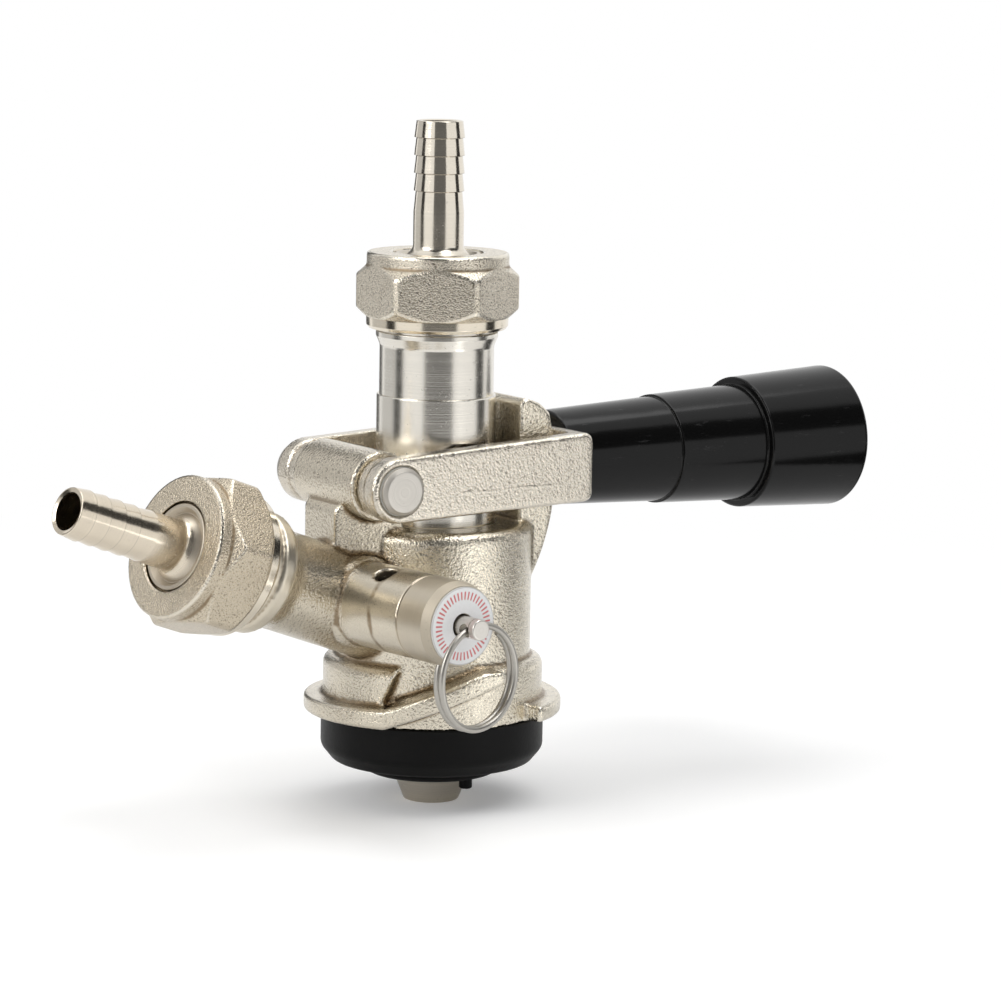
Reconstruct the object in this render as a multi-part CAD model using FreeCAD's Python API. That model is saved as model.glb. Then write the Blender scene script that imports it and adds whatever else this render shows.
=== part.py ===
import FreeCAD, Part
import math
import os

# Keg coupler with a lever handle, in millimetres.
# Origin: the probe's axis at the underside of the metal base. +Z runs up the probe, +X out along the handle.
# The gas arm leaves towards -X and the relief valve towards -Y. The handle is down, in its locked place.

os.makedirs("parts", exist_ok=True)
V = FreeCAD.Vector
UP = V(0, 0, 1)

# Clearances
fit_gap = 0.05            # radial, between pieces fixed to each other
running_gap = 0.08        # radial, shafts that slide or turn in a bore
thread_gap = 0.10         # radial, plain cylinders that stand for threads
free_gap = 0.30           # between pieces that pass each other
face_gap = 0.10           # axial, between a turning or lifting piece and its seat

# Body casting: barrel, skirt and bayonet
barrel_radius = 17.8
barrel_top = 35.2
barrel_round = 2.0
skirt_radius = 20.1
skirt_top = 10.6
skirt_round = 1.8
lug_radius = 23.6
lug_bottom = 0.3
lug_top = 4.0
lug_start = 113.0         # degrees about Z; the second lug is half a turn on
lug_flat_sweep = 102.4    # stretch of a lug before its ramp
lug_tilt = 2.3            # degrees that its top falls away from the ramp
lug_round = 0.5
ramp_sweep = 55.0         # climbing stretch that draws the base down on the keg
ramp_rise = 8.4
ramp_land = 10.8          # the ramp's top is cut level at this height
skirt_gap_start = 209.4   # degrees; the skirt is open over each ramp, up to the ramp's end
skirt_gap_lean = 22.6     # degrees that the gap's first end leans over the ramp
cavity_radius = 13.6
cavity_top = 20.0

# Body seal under the base
seal_radius = 20.4
seal_side = 6.3
seal_depth = 9.0
seal_bottom_radius = 18.2
seal_neck_radius = 16.2
seal_neck_height = 4.0

# Pivot of the lever
pivot_x = -18.0
pivot_z = 43.8
pin_radius = 3.5
pin_head_radius = 4.3
pin_head_height = 1.2
pivot_barrel_radius = 6.3
pivot_barrel_half = 9.9
web_back = 24.7           # the web's rear face, behind the probe's axis
web_back_half = 5.2
web_root_half = 7.6

# Locking quadrant
quadrant_radius = 38.2    # about the pivot
quadrant_half = 10.0
quadrant_inner = 12.0     # inner face, out from the probe's axis
quadrant_height = 57.8
quadrant_shoulder = 53.0
notch_depth = 1.6
quadrant_root = 6.0       # the tongue's thickness over the barrel's top

# Lever fork
arm_outer_half = 16.5
arm_thickness = 3.4
arm_round = 0.9
arm_end_radius = 5.8
arm_end_drop = 0.2        # the arm's round end sits this far under the pivot
crossbar_outer = 23.8
crossbar_thickness = 3.1
crossbar_low = 39.0
crossbar_high = 51.7
hub_radius = 5.45
bush_wall = 0.8
drive_boss_radius = 4.85
drive_boss_z = 45.3
drive_boss_tip = 8.6      # inner end of a boss, out from the probe's axis
lift_degrees = 28.0
handle_socket_radius = 5.6
handle_socket_length = 3.6

# Handle
handle_z = 45.0
grip_start = 24.3
grip_end = 91.1
grip_step_one = 49.0
grip_step_two = 68.5
grip_radii = (8.8, 9.9, 10.25, 11.05, 12.45, 13.55)
grip_pull = 6.0
handle_tube_radius = 4.4
handle_tube_bore = 3.7
handle_tube_end = 62.0
handle_tube_wall = 4.0
nose_radius = 3.0
collar_length = 2.0
plunger_radius = 2.0
grip_web = 9.0            # solid stretch of the grip that the plunger's end passes through
grip_nut_flats = 7.0
grip_nut_height = 3.2
end_plug_radius = 5.5
end_plug_thickness = 2.4
handle_spring_wire = 0.8
handle_spring_turns = 6

# Probe
probe_radius = 10.85
probe_neck_radius = 10.4
probe_bore = 5.0
probe_bottom = -9.0
probe_step = 58.4
probe_flare = 67.3
probe_flange_radius = 11.1
probe_flange = 69.0
union_seat = 77.2         # top face of the probe, where the washer lies
thread_radius = 11.35
pocket_depth = 0.3        # past the drive boss's tip
pocket_play = 0.35
probe_end_flange = 3.0
probe_end_groove = 3.0
groove_radius = 9.0
probe_seal_radius = 12.9
probe_seal_bottom = -11.35
probe_seal_hole = 6.5
nib_radius = 1.2          # moulding nib on the seal's face
nib_height = 2.0
nib_place = 9.1
nib_angle = -79.6
tip_bottom = -16.6
tip_radius = 5.05
tip_top_radius = 7.1
tip_bore = 3.9
tip_shank_radius = 5.95
ring_section = 0.85       # O-ring section radius
probe_ring_z = 22.6
neck_ring_z = 31.2

# Check ball and cage in the probe's top
ball_radius = 3.9
ball_seat_radius = 3.2
ball_lift = 2.0
cage_depth = 9.9
cage_radius = 7.4
cage_bore = 4.4
cage_roof = 1.6
cage_slot_width = 2.4
cage_slot_height = 3.4

# Hose union: washer, tailpiece and hex nut, the same on the beer and the gas side
washer_thickness = 1.5
washer_radius = 10.9
washer_hole = 4.9
tail_flange_radius = 11.0
tail_flange_thickness = 2.5
tail_hub_radius = 7.8
tail_face = 6.8           # machined face in the nut's hole, above the seat
tail_tube_radius = 4.58
tail_tip_radius = 4.2
tail_bore = 3.4
tail_length = 30.7
barb_count = 4
barb_pitch = 3.2
barb_depth = 0.34
barb_first = 3.1          # the top ridge, below the tailpiece's end
nut_bottom = -6.8
nut_top = 7.0
nut_flats = 26.0
nut_corner_radius = 14.75
nut_collar_radius = 13.0
nut_hole = 8.15
nut_lower_collar = 2.1
nut_upper_collar = 2.6
nut_cone = 1.55
beer_nut_turn = -4.6      # degrees that a flat is turned from the seat's own X axis
gas_nut_turn = 10.0

# Gas arm
gas_height = 14.6         # where the arm's axis meets the probe's axis
gas_tilt = 20.0           # degrees up from level
gas_turn = 5.0            # degrees about Z, shared by the relief valve
gas_seat = 54.4           # out along the arm, where the washer lies
gas_arm_radius = 9.0
gas_flange_start = 42.6
gas_flange_end = 45.0
gas_flange_radius = 11.0
gas_bore = 4.2
gas_bore_start = 6.0      # where the arm's bore leaves the cavity
valve_bore = 5.6
valve_flange_radius = 7.0
valve_flange_thickness = 1.5
valve_length = 9.6

# Relief valve, measured out from the gas arm's axis
relief_out = 21.0         # level distance from the probe's axis
relief_height = 22.9
relief_radius = 7.6
relief_root_radius = 8.4
relief_root = 7.6
relief_face = 34.25
relief_cap_length = 8.75
relief_chamfer = 0.55
relief_feed = 2.4
relief_floor = 9.6
relief_chamber = 5.6
relief_lip = 0.7
relief_lip_wall = 0.9
relief_plug_radius = 6.1
relief_plug_length = 2.9
relief_cap_bore = 4.7
relief_cap_wall = 2.5
stem_radius = 1.85
stem_foot_radius = 4.6
stem_foot_height = 1.6
stem_seal_radius = 4.2
stem_seal_thickness = 1.6
stem_eye = 37.0
stem_eye_radius = 1.25
stem_head = 38.3
stem_end = 39.6
stem_turn = 12.0          # degrees about its own axis that the eye, and the ring in it, are turned
relief_spring_wire = 0.8
relief_spring_turns = 6
label_radius = 6.85
label_hole = 2.25
label_thickness = 0.3
vent_radius = 2.1
vent_place = 16.2
vent_turn = 22.0
ring_radius = 9.15        # middle of the wire
ring_wire = 1.2
ring_step = 1.15          # between its two turns
ring_cut_start = 50.0     # degrees from the eye where the second turn starts
ring_cut_end = 302.0      # degrees from the eye where it ends
ring_yaw = 7.0            # degrees that the ring hangs askew in the eye

# Derived places
fork_inner = arm_outer_half - arm_thickness
crossbar_inner = crossbar_outer - crossbar_thickness
guide_bore = probe_radius + running_gap
pin_hole = pin_radius + fit_gap
bush_bore = pin_radius + running_gap
bush_radius = bush_bore + bush_wall
nose_tip = pivot_x + quadrant_radius - notch_depth + free_gap
socket_floor = crossbar_inner + crossbar_thickness / 2.0
collar_radius = handle_tube_bore - running_gap
grip_cavity_end = handle_tube_end + handle_socket_length + free_gap
grip_nut_seat = grip_cavity_end + grip_web
cage_floor = union_seat - cage_depth
gas_place = FreeCAD.Placement(
    V(0, 0, gas_height),
    FreeCAD.Rotation(UP, gas_turn).multiply(FreeCAD.Rotation(V(0, 1, 0), gas_tilt - 90.0)))
relief_turn = FreeCAD.Rotation(UP, gas_turn)
relief_place = FreeCAD.Placement(
    relief_turn.multVec(V(-relief_out, 0, 0)) + V(0, 0, relief_height),
    relief_turn.multiply(FreeCAD.Rotation(V(1, 0, 0), 90.0)))


# Shape helpers

def outline(corners):
    """Closed wire in the XZ plane through corners (x, z, round); each round is a tangent arc."""
    arcs = []
    count = len(corners)
    for i in range(count):
        x, z, radius = corners[i]
        here = V(x, 0, z)
        if radius <= 0:
            arcs.append((here, None, here))
            continue
        before = V(corners[i - 1][0], 0, corners[i - 1][1])
        after = V(corners[(i + 1) % count][0], 0, corners[(i + 1) % count][1])
        back = (before - here).normalize()
        ahead = (after - here).normalize()
        half = back.getAngle(ahead) / 2.0
        reach = radius / math.tan(half)
        middle = (back + ahead).normalize() * (radius / math.sin(half) - radius)
        arcs.append((here + back * reach, here + middle, here + ahead * reach))
    edges = []
    for i in range(count):
        start, middle, end = arcs[i]
        if middle is not None:
            edges.append(Part.Arc(start, middle, end).toShape())
        following = arcs[(i + 1) % count][0]
        if end.distanceToPoint(following) > 1e-6:
            edges.append(Part.LineSegment(end, following).toShape())
    return Part.Wire(edges)


def sharp(points):
    """Corners with no rounds."""
    return [(x, z, 0) for x, z in points]


def revolved(corners):
    """Solid of revolution about Z from an outline in (radius, z)."""
    return Part.Face(outline(corners)).revolve(V(0, 0, 0), UP, 360)


def plate(corners, low, high):
    """Prism of an XZ outline from y = low to y = high."""
    face = Part.Face(outline(corners))
    face.translate(V(0, low, 0))
    return face.extrude(V(0, high - low, 0))


def rod(radius, start, end):
    """Cylinder between two points."""
    return Part.makeCylinder(radius, start.distanceToPoint(end), start, end - start)


def bar_x(radius, start, end, z):
    """Cylinder along X at y = 0."""
    return rod(radius, V(start, 0, z), V(end, 0, z))


def sector(radius, low, high, start, sweep):
    """Wedge of a cylinder about Z, from the angle start over sweep degrees."""
    wedge = Part.makeCylinder(radius, high - low, V(0, 0, low), UP, sweep)
    wedge.rotate(V(0, 0, 0), UP, start)
    return wedge


def placed(shape, placement):
    """Copy of a shape that was made about +Z, moved to its own axis."""
    moved = shape.copy()
    moved.Placement = placement.multiply(shape.Placement)
    return moved


def along_x(shape, z):
    """Copy of a shape made about +Z, laid along +X at height z."""
    return placed(shape, FreeCAD.Placement(V(0, 0, z), FreeCAD.Rotation(V(0, 1, 0), 90.0)))


def joined(shapes):
    """One solid from touching shapes."""
    result = shapes[0].multiFuse(shapes[1:])
    return result.removeSplitter()


def coil(mean_radius, wire, low, high, turns):
    """Closed helical wire about Z between two levels."""
    pitch = (high - low - wire) / turns
    path = Part.makeHelix(pitch, pitch * turns, mean_radius)
    path.translate(V(0, 0, low + wire / 2.0))
    heading = V(0, 2.0 * math.pi * mean_radius, pitch)
    section = Part.Wire(Part.makeCircle(wire / 2.0, V(mean_radius, 0, low + wire / 2.0), heading))
    return Part.Wire(path.Edges).makePipeShell([section], True, True)


def o_ring(mean_radius, section, z):
    return Part.makeTorus(mean_radius, section, V(0, 0, z), UP)


def hexagon(flats, low, high, turn):
    """Hexagonal prism about Z, with a flat turned from +X by turn degrees."""
    corner = flats / math.sqrt(3.0)
    points = []
    for i in range(7):
        angle = math.radians(turn + 30.0 + 60.0 * i)
        points.append(V(corner * math.cos(angle), corner * math.sin(angle), low))
    return Part.Face(Part.makePolygon(points)).extrude(V(0, 0, high - low))


# Body casting

def polar(radius, degrees):
    """Point (x, z) at a distance and an angle about the lever's pivot."""
    angle = math.radians(degrees)
    return pivot_x + radius * math.cos(angle), pivot_z + radius * math.sin(angle)


def rounded_rims(solid, radius):
    """The same solid with the edges that run round it at this radius made soft."""
    rims = []
    for edge in solid.Edges:
        box = edge.BoundBox
        places = [edge.valueAt(edge.FirstParameter + share * (edge.LastParameter - edge.FirstParameter))
                  for share in (0.0, 0.5, 1.0)]
        around = max(abs(math.hypot(p.x, p.y) - radius) for p in places) < 1e-4
        if around and math.hypot(box.XLength, box.YLength) > 1.0:
            rims.append(edge)
    return solid.makeFillet(lug_round, rims)


def lug_shelf(start):
    """First stretch of a lug, whose top falls gently away from the ramp."""
    shelf = sector(lug_radius, lug_bottom, lug_top, start, lug_flat_sweep)
    above = Part.makeBox(4.0 * lug_radius, 2.0 * lug_radius, skirt_top, V(-2.0 * lug_radius, -2.0 * lug_radius, lug_top))
    above.rotate(V(0, 0, lug_top), V(1, 0, 0), lug_tilt)
    above.rotate(V(0, 0, 0), UP, start + lug_flat_sweep)
    return rounded_rims(shelf.cut(above), lug_radius)


def ramp_slab(start, low_start, low_end):
    """Slanted prism over a ramp's stretch of the base, between its underside and the ramp's top."""
    middle = start + ramp_sweep / 2.0
    reach = lug_radius * math.sin(math.radians(ramp_sweep / 2.0))
    knee = reach - (lug_top + ramp_rise - ramp_land) * 2.0 * reach / ramp_rise
    slab = plate(sharp([
        (reach, low_start), (-reach, low_end), (-reach, ramp_land), (-knee, ramp_land), (reach, lug_top)]),
        0, lug_radius + 1.0)
    slab.rotate(V(0, 0, 0), UP, middle - 90.0)
    return slab


def bayonet_ramp(start):
    """Climbing end of a lug, and the skirt that carries it."""
    slab = ramp_slab(start, lug_bottom, lug_bottom + ramp_rise)
    ramp = slab.common(sector(lug_radius, 0, skirt_top + lug_top, start, ramp_sweep))
    carrier = ramp_slab(start, 0, 0).common(sector(skirt_radius, 0, skirt_top + lug_top, start, ramp_sweep))
    return [rounded_rims(ramp, lug_radius), carrier]


def ramp_opening(half_turn):
    """Room cut in the skirt over a ramp; its first end leans."""
    end = lug_start + lug_flat_sweep + ramp_sweep
    opening = sector(lug_radius, lug_top, skirt_top + skirt_round, skirt_gap_start, end - skirt_gap_start)
    lean = Part.makeBox(lug_radius, lug_radius, 2.0 * skirt_top, V(0, -lug_radius, lug_top - skirt_top))
    lean.rotate(V(0, 0, lug_top), V(1, 0, 0), -skirt_gap_lean)
    lean.rotate(V(0, 0, 0), UP, skirt_gap_start)
    opening = opening.cut(lean).cut(Part.makeCylinder(barrel_radius, barrel_top))
    opening.rotate(V(0, 0, 0), UP, half_turn)
    return opening


def base():
    """Barrel and skirt, with the skirt opened over the ramps, and the two lugs."""
    turned = revolved([
        (0, 0, 0), (skirt_radius, 0, 0), (skirt_radius, skirt_top, skirt_round),
        (barrel_radius, skirt_top, 0.4), (barrel_radius, barrel_top, barrel_round), (0, barrel_top, 0)])
    pieces = []
    for half_turn in (0.0, 180.0):
        turned = turned.cut(ramp_opening(half_turn))
        pieces.append(lug_shelf(lug_start + half_turn))
        pieces += bayonet_ramp(lug_start + lug_flat_sweep + half_turn)
    return joined([turned] + pieces)


def pivot_support():
    """Barrel for the pivot pin on a tapered web that stands on the gas arm."""
    ends = V(0, pivot_barrel_half, 0)
    centre = V(pivot_x, 0, pivot_z)
    barrel = rod(pivot_barrel_radius, centre - ends, centre + ends)
    side = plate([
        (-web_back, gas_height, 0), (-web_back, pivot_z - 4.5, 1.5), (pivot_x - 2.0, pivot_z, 0),
        (pivot_x + pivot_barrel_radius - 0.5, pivot_z, 0), (-guide_bore - 0.6, barrel_top, 0),
        (-guide_bore - 0.6, gas_height, 0)], -web_root_half, web_root_half)
    plan = Part.Face(Part.makePolygon([
        V(-web_back, -web_back_half, 0), V(-barrel_radius + 2.0, -web_root_half, 0), V(0, -web_root_half, 0),
        V(0, web_root_half, 0), V(-barrel_radius + 2.0, web_root_half, 0), V(-web_back, web_back_half, 0),
        V(-web_back, -web_back_half, 0)])).extrude(V(0, 0, pivot_z))
    return [barrel, side.common(plan)]


def quadrant():
    """Upright tongue whose outer face is an arc about the pivot, notched for the plunger's nose."""
    foot = polar(quadrant_radius, -30.0)
    middle = polar(quadrant_radius, -8.0)
    rise = math.degrees(math.asin((quadrant_shoulder - pivot_z) / quadrant_radius))
    shoulder = polar(quadrant_radius, rise)
    corners = [
        V(quadrant_inner, 0, barrel_top - barrel_round - 4.0), V(foot[0] - quadrant_root, 0, foot[1] - 2.0),
        V(foot[0], 0, foot[1])]
    arc = Part.Arc(corners[2], V(middle[0], 0, middle[1]), V(shoulder[0], 0, shoulder[1])).toShape()
    crown = [
        V(shoulder[0], 0, shoulder[1]), V(shoulder[0] - 0.5, 0, shoulder[1] + 1.9),
        V(quadrant_inner + 4.4, 0, quadrant_height - 1.1), V(quadrant_inner + 1.2, 0, quadrant_height),
        V(quadrant_inner, 0, quadrant_height - 0.8), corners[0]]
    edges = Part.makePolygon(corners).Edges + [arc] + Part.makePolygon(crown).Edges
    face = Part.Face(Part.Wire(edges))
    face.translate(V(0, -quadrant_half, 0))
    tongue = face.extrude(V(0, 2.0 * quadrant_half, 0))
    rounded = [e for e in tongue.Edges if abs(e.BoundBox.YLength) < 1e-6 and e.BoundBox.XMin > quadrant_inner + 1.3
               and e.BoundBox.ZMin > foot[1] - 0.5]
    tongue = tongue.makeFillet(0.9, rounded)
    floor = quadrant_radius - notch_depth
    pull_per_degree = grip_pull / lift_degrees
    nose_rise = math.degrees(math.asin((handle_z + nose_radius - pivot_z) / quadrant_radius))
    crest = nose_rise + notch_depth / pull_per_degree
    notch = plate(sharp([
        polar(quadrant_radius + 1.0, -3.5), polar(floor, -3.5), polar(floor, nose_rise + 0.5),
        polar(quadrant_radius, crest), polar(quadrant_radius + 1.0, crest)]), -nose_radius - 0.8, nose_radius + 0.8)
    return tongue.cut(notch)


def gas_arm():
    """Inlet arm with its machined flange and threaded spout, about +Z."""
    relief = thread_radius - 0.9
    thread_start = gas_seat + nut_bottom + 1.2
    return revolved([
        (0, 4.0, 0), (gas_arm_radius, 4.0, 0), (gas_arm_radius, gas_flange_start - 3.6, 5.0),
        (gas_flange_radius - 0.2, gas_flange_start, 0), (gas_flange_radius, gas_flange_start, 0),
        (gas_flange_radius, gas_flange_end, 0.2), (relief, gas_flange_end, 0), (relief, thread_start, 0),
        (thread_radius, thread_start + 0.6, 0), (thread_radius, gas_seat, 0.5), (0, gas_seat, 0)])


def relief_boss():
    """Valve chamber's outside, about +Z."""
    end = relief_face - relief_cap_length
    return revolved([
        (0, 0, 0), (relief_root_radius, 0, 0), (relief_root_radius, relief_root, 0.8),
        (relief_radius, relief_root + 0.3, 0), (relief_radius, end, 0), (0, end, 0)])


def body_casting():
    solid = joined([base()] + pivot_support() + [
        quadrant(), placed(gas_arm(), gas_place), placed(relief_boss(), relief_place)])
    guide = Part.makeCylinder(guide_bore, quadrant_height, V(0, 0, -1.0))
    cavity = revolved(sharp([
        (0, -1.0), (cavity_radius, -1.0), (cavity_radius, cavity_top),
        (guide_bore, cavity_top + cavity_radius - guide_bore), (0, cavity_top + cavity_radius - guide_bore)]))
    seal_recess = Part.makeCylinder(seal_neck_radius + fit_gap, seal_neck_height + fit_gap + 1.0, V(0, 0, -1.0))
    ring_height = 2.0 * ring_section + 0.4
    groove_floor = probe_radius + face_gap + 2.0 * ring_section + fit_gap
    ring_groove = Part.makeCylinder(groove_floor, ring_height, V(0, 0, neck_ring_z - ring_height / 2.0))
    solid = solid.cut(guide).cut(cavity).cut(seal_recess).cut(ring_groove)
    valve_room = gas_seat - valve_flange_thickness - valve_length - 4.0
    gas_way = Part.makeCylinder(gas_bore, gas_seat, V(0, 0, gas_bore_start))
    gas_way = gas_way.fuse(Part.makeCylinder(valve_bore, gas_seat, V(0, 0, valve_room)))
    gas_way = gas_way.fuse(Part.makeCylinder(
        valve_flange_radius + fit_gap, valve_flange_thickness + 1.0, V(0, 0, gas_seat - valve_flange_thickness)))
    solid = solid.cut(placed(gas_way, gas_place))
    boss_end = relief_face - relief_cap_length
    chamber = Part.makeCylinder(relief_chamber, boss_end, V(0, 0, relief_floor))
    lip = Part.makeCylinder(relief_feed + relief_lip_wall, relief_lip, V(0, 0, relief_floor))
    chamber = chamber.cut(lip)
    plug_start = boss_end - relief_plug_length - 0.2
    chamber = chamber.fuse(Part.makeCylinder(relief_plug_radius + thread_gap, boss_end, V(0, 0, plug_start)))
    chamber = chamber.fuse(Part.makeCylinder(relief_feed, relief_floor + 1.0))
    vent = Part.makeCylinder(vent_radius, relief_radius + 2.0, V(0, 0, vent_place), V(0, 1, 0))
    vent.rotate(V(0, 0, 0), UP, vent_turn)
    solid = solid.cut(placed(chamber.fuse(vent), relief_place))
    ends = V(0, arm_outer_half, 0)
    centre = V(pivot_x, 0, pivot_z)
    return solid.cut(rod(pin_hole, centre - ends, centre + ends))


# Pieces on the body

def body_seal():
    hole = probe_seal_radius + free_gap + 0.1
    return revolved([
        (hole, -seal_depth, 0.5), (seal_bottom_radius, -seal_depth, 1.5), (seal_radius, -seal_side, 2.2),
        (seal_radius, 0, 0.2), (seal_neck_radius, 0, 0), (seal_neck_radius, seal_neck_height, 0),
        (hole, seal_neck_height, 0)])


def neck_o_ring():
    return o_ring(probe_radius + face_gap + ring_section, ring_section, neck_ring_z)


def turned_pin():
    """Pivot pin about +Z, with its crowned head at the bottom and a ring groove near its end."""
    ring_place = 2.0 * arm_outer_half + free_gap
    end = ring_place + 2.2
    groove = pin_radius - 0.5
    return revolved([
        (0, -pin_head_height, 0), (pin_head_radius - 0.7, -pin_head_height, 0.3),
        (pin_head_radius, -pin_head_height + 0.6, 0.3), (pin_head_radius, -0.05, 0), (pin_radius, -0.05, 0),
        (pin_radius, ring_place, 0), (groove, ring_place, 0), (groove, ring_place + 1.0, 0),
        (pin_radius, ring_place + 1.0, 0), (pin_radius, end - 0.5, 0), (pin_radius - 0.5, end, 0), (0, end, 0)])


def pin_place():
    return FreeCAD.Placement(V(pivot_x, -arm_outer_half, pivot_z), FreeCAD.Rotation(V(1, 0, 0), -90.0))


def snap_ring():
    start = 2.0 * arm_outer_half + free_gap + 0.1
    ring = Part.makeCylinder(pin_head_radius + 0.6, 0.8, V(0, 0, start))
    ring = ring.cut(Part.makeCylinder(pin_radius - 0.5 + fit_gap, 0.8, V(0, 0, start)))
    slot = Part.makeBox(pin_head_radius + 2.0, 2.4, 0.8, V(0, -1.2, start))
    return ring.cut(slot)


def washer():
    flat = Part.makeCylinder(washer_radius, washer_thickness)
    return flat.cut(Part.makeCylinder(washer_hole, washer_thickness))


def tailpiece():
    """Hose barb on a clamped flange; a dished machined face shows in the nut's hole."""
    top = tail_length
    ridge = top - barb_first
    root = tail_tube_radius - barb_depth
    flange_top = washer_thickness + tail_flange_thickness
    corners = [
        (tail_bore, washer_thickness, 0), (tail_flange_radius, washer_thickness, 0.3),
        (tail_flange_radius, flange_top, 0.3), (tail_hub_radius, flange_top, 0), (tail_hub_radius, tail_face, 0.3),
        (tail_hub_radius - 0.7, tail_face, 0), (tail_hub_radius - 1.5, tail_face - 0.9, 0),
        (tail_tube_radius + 1.6, tail_face - 0.9, 0), (tail_tube_radius, tail_face + 0.9, 1.5),
        (tail_tube_radius, ridge - (barb_count - 1) * barb_pitch - 3.8, 0)]
    for i in range(barb_count - 1, -1, -1):
        height = ridge - i * barb_pitch
        if i == barb_count - 1:
            corners.append((root, height - 0.15, 0))
        corners.append((tail_tube_radius, height, 0))
        if i:
            corners.append((root, height + barb_pitch - 0.15, 0))
    corners += [(tail_tip_radius, top, 0.2), (tail_bore, top - 0.3, 0)]
    return revolved(corners)


def hex_nut(turn):
    """Union nut: cast hexagon between two turned collars."""
    low = nut_bottom + nut_lower_collar
    high = nut_top - nut_upper_collar
    hexagonal = hexagon(nut_flats, low, high, turn).common(revolved(sharp([
        (0, low), (nut_collar_radius, low), (nut_corner_radius, low + nut_cone),
        (nut_corner_radius, high - nut_cone), (nut_collar_radius, high), (0, high)])))
    collars = revolved([
        (0, nut_bottom, 0), (nut_collar_radius - 0.5, nut_bottom, 0), (nut_collar_radius - 0.1, nut_bottom + 0.6, 0),
        (nut_collar_radius - 0.1, nut_top, 0.4), (0, nut_top, 0)])
    lip = washer_thickness + tail_flange_thickness + face_gap
    solid = collars.fuse(hexagonal)
    solid = solid.cut(Part.makeCylinder(nut_hole, nut_top + 1.0))
    return solid.cut(Part.makeCylinder(thread_radius + thread_gap, lip - nut_bottom + 1.0, V(0, 0, nut_bottom - 1.0)))


def check_valve():
    """Rubber duckbill about +Z: a clamped flange whose tube flattens to two lips pointing inwards."""
    top = -valve_flange_thickness
    end = top - valve_length

    def bill(radius, half_width, half_gap, low):
        circle = Part.Wire(Part.makeCircle(radius, V(0, 0, top + 0.01), UP))
        slot = Part.makePolygon([
            V(half_width, half_gap, low), V(-half_width, half_gap, low), V(-half_width, -half_gap, low),
            V(half_width, -half_gap, low), V(half_width, half_gap, low)])
        return Part.makeLoft([circle, slot], True, True)

    flange = Part.makeCylinder(valve_flange_radius, valve_flange_thickness, V(0, 0, top))
    solid = flange.fuse(bill(valve_bore - 0.6, 4.4, 0.9, end))
    solid = solid.cut(bill(valve_bore - 1.6, 3.4, 0.2, end - 0.02))
    return solid.cut(Part.makeCylinder(valve_bore - 1.6, valve_flange_thickness + 0.1, V(0, 0, top)))


def relief_cap():
    start = relief_face - relief_cap_length
    plug = start - relief_plug_length
    inner = relief_face - relief_cap_wall
    return revolved([
        (relief_cap_bore, plug, 0), (relief_plug_radius, plug, 0), (relief_plug_radius, start + fit_gap, 0),
        (relief_radius, start + fit_gap, 0.2), (relief_radius, relief_face - 2.0, 0),
        (relief_radius - relief_chamfer, relief_face, 0.2), (stem_radius + free_gap, relief_face, 0),
        (stem_radius + free_gap, inner, 0), (relief_cap_bore, inner, 0)])


def relief_label():
    disc = Part.makeCylinder(label_radius, label_thickness, V(0, 0, relief_face))
    return disc.cut(Part.makeCylinder(label_hole, label_thickness, V(0, 0, relief_face)))


def stem_seat():
    return relief_floor + relief_lip + fit_gap


def relief_seal():
    return Part.makeCylinder(stem_seal_radius, stem_seal_thickness, V(0, 0, stem_seat()))


def relief_stem():
    """Foot that carries the seal, shaft with the pull ring's eye, and a round head behind a groove."""
    foot = stem_seat() + stem_seal_thickness
    shaft = revolved([
        (0, foot, 0), (stem_foot_radius, foot, 0.2), (stem_foot_radius, foot + stem_foot_height, 0.2),
        (stem_radius, foot + stem_foot_height, 0), (stem_radius, stem_head - 0.35, 0), (stem_radius - 0.3, stem_head - 0.25, 0),
        (stem_radius - 0.3, stem_head - 0.1, 0), (stem_radius, stem_head, 0), (stem_radius, stem_end, 0.3),
        (0, stem_end, 0)])
    eye = Part.makeCylinder(stem_eye_radius, 4.0 * stem_radius, V(-2.0 * stem_radius, 0, stem_eye), V(1, 0, 0))
    shaft = shaft.cut(eye)
    shaft.rotate(V(0, 0, 0), UP, stem_turn)
    return shaft


def relief_spring():
    low = stem_seat() + stem_seal_thickness + stem_foot_height + face_gap
    high = relief_face - relief_cap_wall - face_gap
    mean = (stem_radius + relief_cap_bore) / 2.0
    return coil(mean, relief_spring_wire, low, high, relief_spring_turns)


def pull_ring():
    """Split ring: one whole turn through the stem's eye and a second one, cut short, behind it."""
    wire = ring_wire / 2.0
    ring = Part.makeTorus(ring_radius, wire)
    section = Part.Face(Part.Wire(Part.makeCircle(wire, V(0, ring_radius, -ring_step), V(1, 0, 0))))
    section.rotate(V(0, 0, 0), UP, -ring_cut_start)
    second = section.revolve(V(0, 0, 0), UP, ring_cut_start - ring_cut_end)
    ring = ring.fuse(second)
    ring.translate(V(0, -ring_radius, 0))
    ring.rotate(V(0, 0, 0), UP, stem_turn)
    ring.rotate(V(0, 0, 0), V(0, 1, 0), ring_yaw)
    ring.translate(V(0, 0, stem_eye))
    return ring


# Lever

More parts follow.
